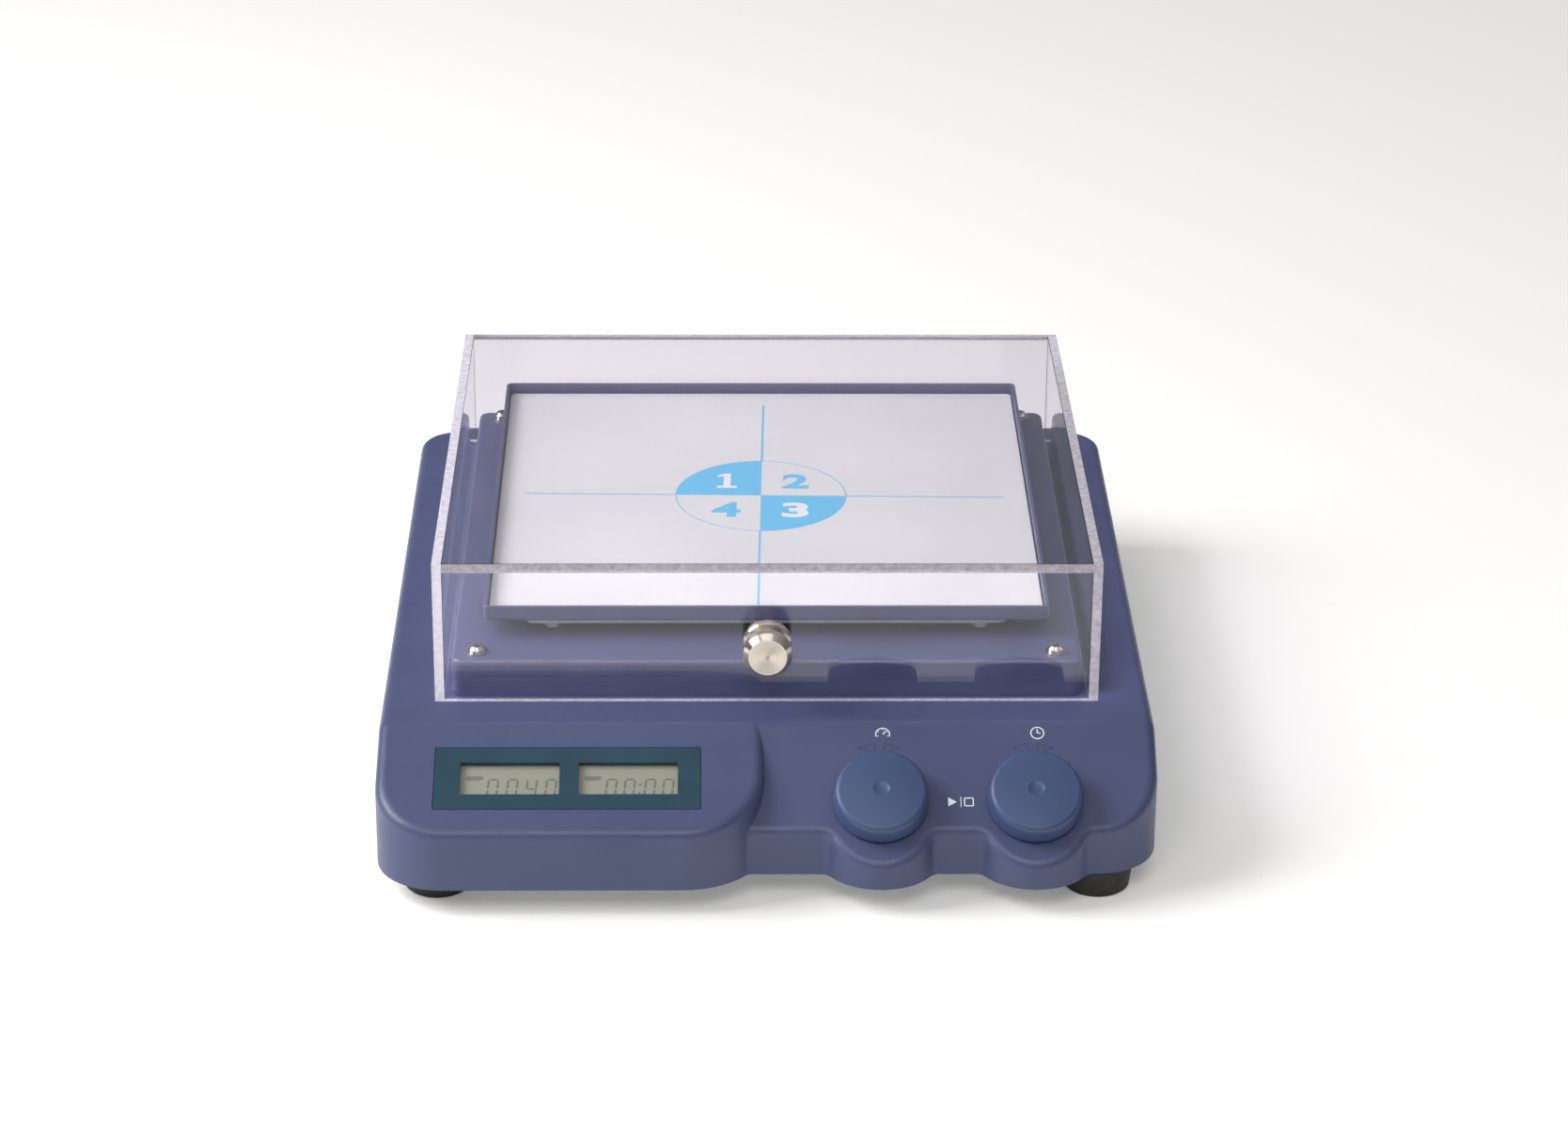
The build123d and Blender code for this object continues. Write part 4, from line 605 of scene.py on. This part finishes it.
COLON_ROOM = 1 * MM
COLON_LEVELS = (0.3, 0.72)
COLON_BEFORE_DIGIT = 1.2 * MM
DOT_SIZE = 1 * MM
SEGMENT = 0.95 * MM
SEGMENT_GAP = 0.25 * MM
SMALLEST_SEGMENT = 0.2 * MM
SEGMENTS_ON = {"0": "abcdef", "4": "bcfg"}

# The status lines: their corner from the screen's upper left, then each start and length
STATUS_RIGHT = 2.2 * MM
STATUS_DOWN = 8.2 * MM
STATUS_LINES = ((0.4 * MM, 6.9 * MM), (0.0, 7.3 * MM), (0.8 * MM, 5.6 * MM))
STATUS_TOP = 2.4 * MM
STATUS_PITCH = 0.85 * MM
STATUS_WIDTH = 0.8 * MM
segment_ink = printed("segment_ink", rgba(104, 107, 101), 0.3, 0.3)
status_ink = printed("status_ink", rgba(108, 111, 108), 0.4, 0.3)


def segment_lines():
    """The seven segments of a digit, each as its two ends from the digit's lower left corner."""
    w, h, g = DIGIT_WIDTH, DIGIT_HEIGHT, SEGMENT_GAP
    half = h / 2
    return {
        "a": ((g, h), (w - g, h)),
        "b": ((w, half + g), (w, h - g)),
        "c": ((w, g), (w, half - g)),
        "d": ((g, 0), (w - g, 0)),
        "e": ((0, g), (0, half - g)),
        "f": ((0, half + g), (0, h - g)),
        "g": ((g, half), (w - g, half)),
    }


def add_segment(mesh, start, end, place, floor):
    """A pointed, slanted bar, cut off at the screen's lower edge."""
    a, b = Vector(start), Vector(end)
    run = (b - a).normalized()
    side = run.orthogonal() * SEGMENT / 2
    tip = run * SEGMENT / 2
    outline = [a, a + tip - side, b - tip - side, b, b - tip + side, a + tip + side]
    slanted = [(point.x + DIGIT_SLANT * point.y, max(point.y, floor)) for point in outline]
    if max(y for x, y in slanted) > floor + SMALLEST_SEGMENT:
        add_plate(mesh, slanted, place, PRINT_LIFT)


def window_seat(across, up, depth):
    """A place on the display window's plane, from the middle of the window."""
    middle = down_slope(WINDOW_X, WINDOW_DOWN, POD_SLOPE)
    return middle @ Matrix.Translation((across, up, -depth))


def screen(name, side, digits, colon):
    """One screen's marks: its digits, the colon if it has one, and its status lines."""
    middle = SCREEN_OFFSET + side * SCREEN_SPACING / 2
    width, height = SCREEN_SIZE
    marks = bmesh.new()
    base = -height / 2 - DIGIT_DROP
    pitch = DIGIT_PITCH - (COLON_ROOM / 2 if colon else 0)
    first = DIGIT_START - width / 2
    for index, digit in enumerate(digits):
        x = middle + first + index * pitch + (COLON_ROOM if colon and index > 1 else 0)
        place = window_seat(x, base, LCD_DEPTH)
        for segment, ends in segment_lines().items():
            if segment in SEGMENTS_ON[digit]:
                add_segment(marks, ends[0], ends[1], place, DIGIT_CUT)
    if colon:
        spot = window_seat(middle + first + 2 * pitch - COLON_BEFORE_DIGIT, base, LCD_DEPTH)
        for level in COLON_LEVELS:
            y = level * DIGIT_HEIGHT
            x = DIGIT_SLANT * y
            dot = stroke((x - DOT_SIZE / 2, y), (x + DOT_SIZE / 2, y), DOT_SIZE)
            add_plate(marks, dot, spot, PRINT_LIFT)
    piece_from(f"{name}_digits", marks, segment_ink, "base")
    status = bmesh.new()
    corner = window_seat(middle - width / 2 + STATUS_RIGHT, height / 2 - STATUS_DOWN, LCD_DEPTH)
    for row, (x, length) in enumerate(STATUS_LINES):
        y = STATUS_TOP - STATUS_PITCH * row
        add_plate(status, stroke((x, y), (x + length, y), STATUS_WIDTH), corner, PRINT_LIFT)
    piece_from(f"{name}_status", status, status_ink, "base")


screen("speed_screen", -1, "0040", False)
screen("time_screen", 1, "0000", True)


# Marks on the control panel: two arrow outlines above each knob, and generic pictograms

ARROW_REACH = 8.65 * MM
ARROW_DOWN = 12.25 * MM
ARROW_LENGTH = 6.6 * MM
ARROW_HEIGHT = 4.6 * MM
ARROW_LINE = 0.22 * MM
panel_ink = printed("panel_ink", rgba(30, 34, 66), 0.1)
label_ink = printed("label_ink", rgba(228, 231, 238), 0.1)


def add_outline(mesh, corners, place, width):
    """A closed outline drawn with straight strokes."""
    for index, corner in enumerate(corners):
        after = corners[(index + 1) % len(corners)]
        add_plate(mesh, stroke(corner, after, width), place, PRINT_LIFT)


arrows = bmesh.new()
for knob_x in KNOB_XS:
    for side in (-1, 1):
        tip = down_slope(knob_x + side * ARROW_REACH, ARROW_DOWN, PANEL_SLOPE)
        root = -side * ARROW_LENGTH
        corners = [(0, 0), (root, ARROW_HEIGHT / 2), (root, -ARROW_HEIGHT / 2)]
        add_outline(arrows, corners, tip, ARROW_LINE)
piece_from("panel_arrows", arrows, panel_ink, "base")

ICON_DOWN = 5.0 * MM
ICON_LINE = 0.45 * MM
THIN_LINE = 0.3 * MM

GAUGE_X = 48.1 * MM
GAUGE_DOWN = ICON_DOWN + 0.6 * MM
GAUGE_RADIUS = 2.9 * MM
GAUGE_START = -20
GAUGE_TURN = 220
GAUGE_TICKS = 5
TICK_ENDS = (1.9 * MM, 2.5 * MM)
gauge = bmesh.new()
gauge_seat = down_slope(GAUGE_X, GAUGE_DOWN, PANEL_SLOPE)
arc = (math.radians(GAUGE_START), math.radians(GAUGE_TURN))
add_ring(gauge, GAUGE_RADIUS, ICON_LINE, gauge_seat, PRINT_LIFT, 40, *arc)
add_plate(gauge, stroke((0, 0), (1.3 * MM, 1.6 * MM), ICON_LINE), gauge_seat, PRINT_LIFT)
for tick in range(GAUGE_TICKS):
    angle = math.radians(GAUGE_START + GAUGE_TURN / (GAUGE_TICKS - 1) * tick)
    ends = [(reach * math.cos(angle), reach * math.sin(angle)) for reach in TICK_ENDS]
    add_plate(gauge, stroke(ends[0], ends[1], THIN_LINE), gauge_seat, PRINT_LIFT)
piece_from("gauge_mark", gauge, label_ink, "base")

CLOCK_X = 112.8 * MM
CLOCK_RADIUS = 2.7 * MM
clock = bmesh.new()
clock_seat = down_slope(CLOCK_X, ICON_DOWN, PANEL_SLOPE)
add_ring(clock, CLOCK_RADIUS, ICON_LINE, clock_seat, PRINT_LIFT, 48)
add_plate(clock, stroke((0, -0.2 * MM), (0, 1.8 * MM), ICON_LINE), clock_seat, PRINT_LIFT)
add_plate(clock, stroke((-0.2 * MM, 0), (1.3 * MM, 0), ICON_LINE), clock_seat, PRINT_LIFT)
piece_from("clock_mark", clock, label_ink, "base")

START_STOP_DOWN = 37.5 * MM
PLAY_X = 76.2 * MM
PLAY_CORNERS = [(-1.6 * MM, -2.1 * MM), (2.0 * MM, 0), (-1.6 * MM, 2.1 * MM)]
STOP_X = 83.2 * MM
STOP_REACH = 1.8 * MM
DIVIDER_X = 79.9 * MM
DIVIDER_REACH = 2.4 * MM
start_stop = bmesh.new()
play_seat = down_slope(PLAY_X, START_STOP_DOWN, PANEL_SLOPE)
add_plate(start_stop, PLAY_CORNERS, play_seat, PRINT_LIFT)
stop_seat = down_slope(STOP_X, START_STOP_DOWN, PANEL_SLOPE)
stop_corners = [(x * STOP_REACH, y * STOP_REACH) for x, y in ((-1, -1), (1, -1), (1, 1), (-1, 1))]
add_outline(start_stop, stop_corners, stop_seat, ICON_LINE)
divider_seat = down_slope(DIVIDER_X, START_STOP_DOWN, PANEL_SLOPE)
divider = stroke((0, -DIVIDER_REACH), (0, DIVIDER_REACH), THIN_LINE)
add_plate(start_stop, divider, divider_seat, PRINT_LIFT)
piece_from("start_stop_mark", start_stop, label_ink, "base")


# Stage: a flat pale floor, two soft boxes, a sky that brightens upwards and the camera

WHITE = (1.0, 1.0, 1.0, 1.0)
FLOOR_REACH = 4.0


def backdrop():
    """A flat sheet of pale paper under the object, wide enough to fill the picture."""
    mesh = bmesh.new()
    corners = ((-1, -1), (1, -1), (1, 1), (-1, 1))
    mesh.faces.new([mesh.verts.new((x * FLOOR_REACH, y * FLOOR_REACH, 0.0)) for x, y in corners])
    paper = Tree("studio_paper")
    paper.set(Base_Color=rgba(243, 241, 238), Roughness=0.9, Specular_IOR_Level=0.1)
    paper.set(Emission_Color=WHITE, Emission_Strength=0.16)
    floor = mesh_in_scene("studio_floor", mesh, paper.material)


backdrop()


def area_light(name, spot, aim, size, power, colour):
    """A rectangular soft box at spot, facing aim."""
    data = bpy.data.lights.new(name, "AREA")
    data.shape = "RECTANGLE"
    data.size, data.size_y = size
    data.energy = power
    data.color = colour
    lamp = in_scene(name, data)
    lamp.location = spot
    lamp.rotation_euler = (Vector(aim) - Vector(spot)).to_track_quat("-Z", "Y").to_euler()


LIT_SPOT = (0, 0, 0.05)
area_light("key_left", (-1.45, -0.15, 1.2), LIT_SPOT, (1.1, 1.1), 38, (1.0, 0.99, 0.975))
area_light("front_high", (-0.1, -1.5, 1.6), LIT_SPOT, (1.4, 0.8), 13, WHITE[:3])

# The sky's strength, which rises between two heights of its direction and is even beyond
SKY_RISE = {"From Min": 0.1, "From Max": 0.9, "To Min": 0.1, "To Max": 0.5}
world = bpy.data.worlds.new("studio")
world.use_nodes = True
sky_nodes = world.node_tree.nodes
sky_links = world.node_tree.links
direction = sky_nodes.new("ShaderNodeTexCoord")
split = sky_nodes.new("ShaderNodeSeparateXYZ")
rise = sky_nodes.new("ShaderNodeMapRange")
for key, value in SKY_RISE.items():
    rise.inputs[key].default_value = value
sky = sky_nodes["Background"]
sky_links.new(direction.outputs["Generated"], split.inputs[0])
sky_links.new(split.outputs["Z"], rise.inputs["Value"])
sky_links.new(rise.outputs["Result"], sky.inputs["Strength"])
sky.inputs["Color"].default_value = WHITE
bpy.context.scene.world = world

# The camera as solved from the photograph: its place, its angles and its focal length
CAMERA_SPOT = Vector((-22.37, -1744.92, 887.21)) * MM
CAMERA_PITCH = math.radians(25.02)
CAMERA_YAW = math.radians(1.021)
CAMERA_ROLL = math.radians(0.419)
SENSOR_WIDTH = 36.0
FOCAL_PIXELS = 4614.5
IMAGE_WIDTH = 1668

ahead = Vector((
    math.sin(CAMERA_YAW) * math.cos(CAMERA_PITCH),
    math.cos(CAMERA_YAW) * math.cos(CAMERA_PITCH),
    -math.sin(CAMERA_PITCH),
))
level = Vector((math.cos(CAMERA_YAW), -math.sin(CAMERA_YAW), 0))
upward = level.cross(ahead)
right = math.cos(CAMERA_ROLL) * level + math.sin(CAMERA_ROLL) * upward
up = math.cos(CAMERA_ROLL) * upward - math.sin(CAMERA_ROLL) * level
camera_data = bpy.data.cameras.new("camera")
camera_data.sensor_fit = "HORIZONTAL"
camera_data.sensor_width = SENSOR_WIDTH
camera_data.lens = FOCAL_PIXELS / IMAGE_WIDTH * SENSOR_WIDTH
camera_data.clip_end = 50
camera = in_scene("camera", camera_data)
facing = Matrix((right, up, -ahead)).transposed().to_4x4()
camera.matrix_world = Matrix.Translation(CAMERA_SPOT) @ facing
bpy.context.scene.camera = camera

view = bpy.context.scene.view_settings
view.view_transform = "Standard"
view.exposure = 0.0
cycles = bpy.context.scene.cycles
cycles.max_bounces = 14
cycles.transmission_bounces = 12
cycles.transparent_max_bounces = 12
cycles.use_denoising = True
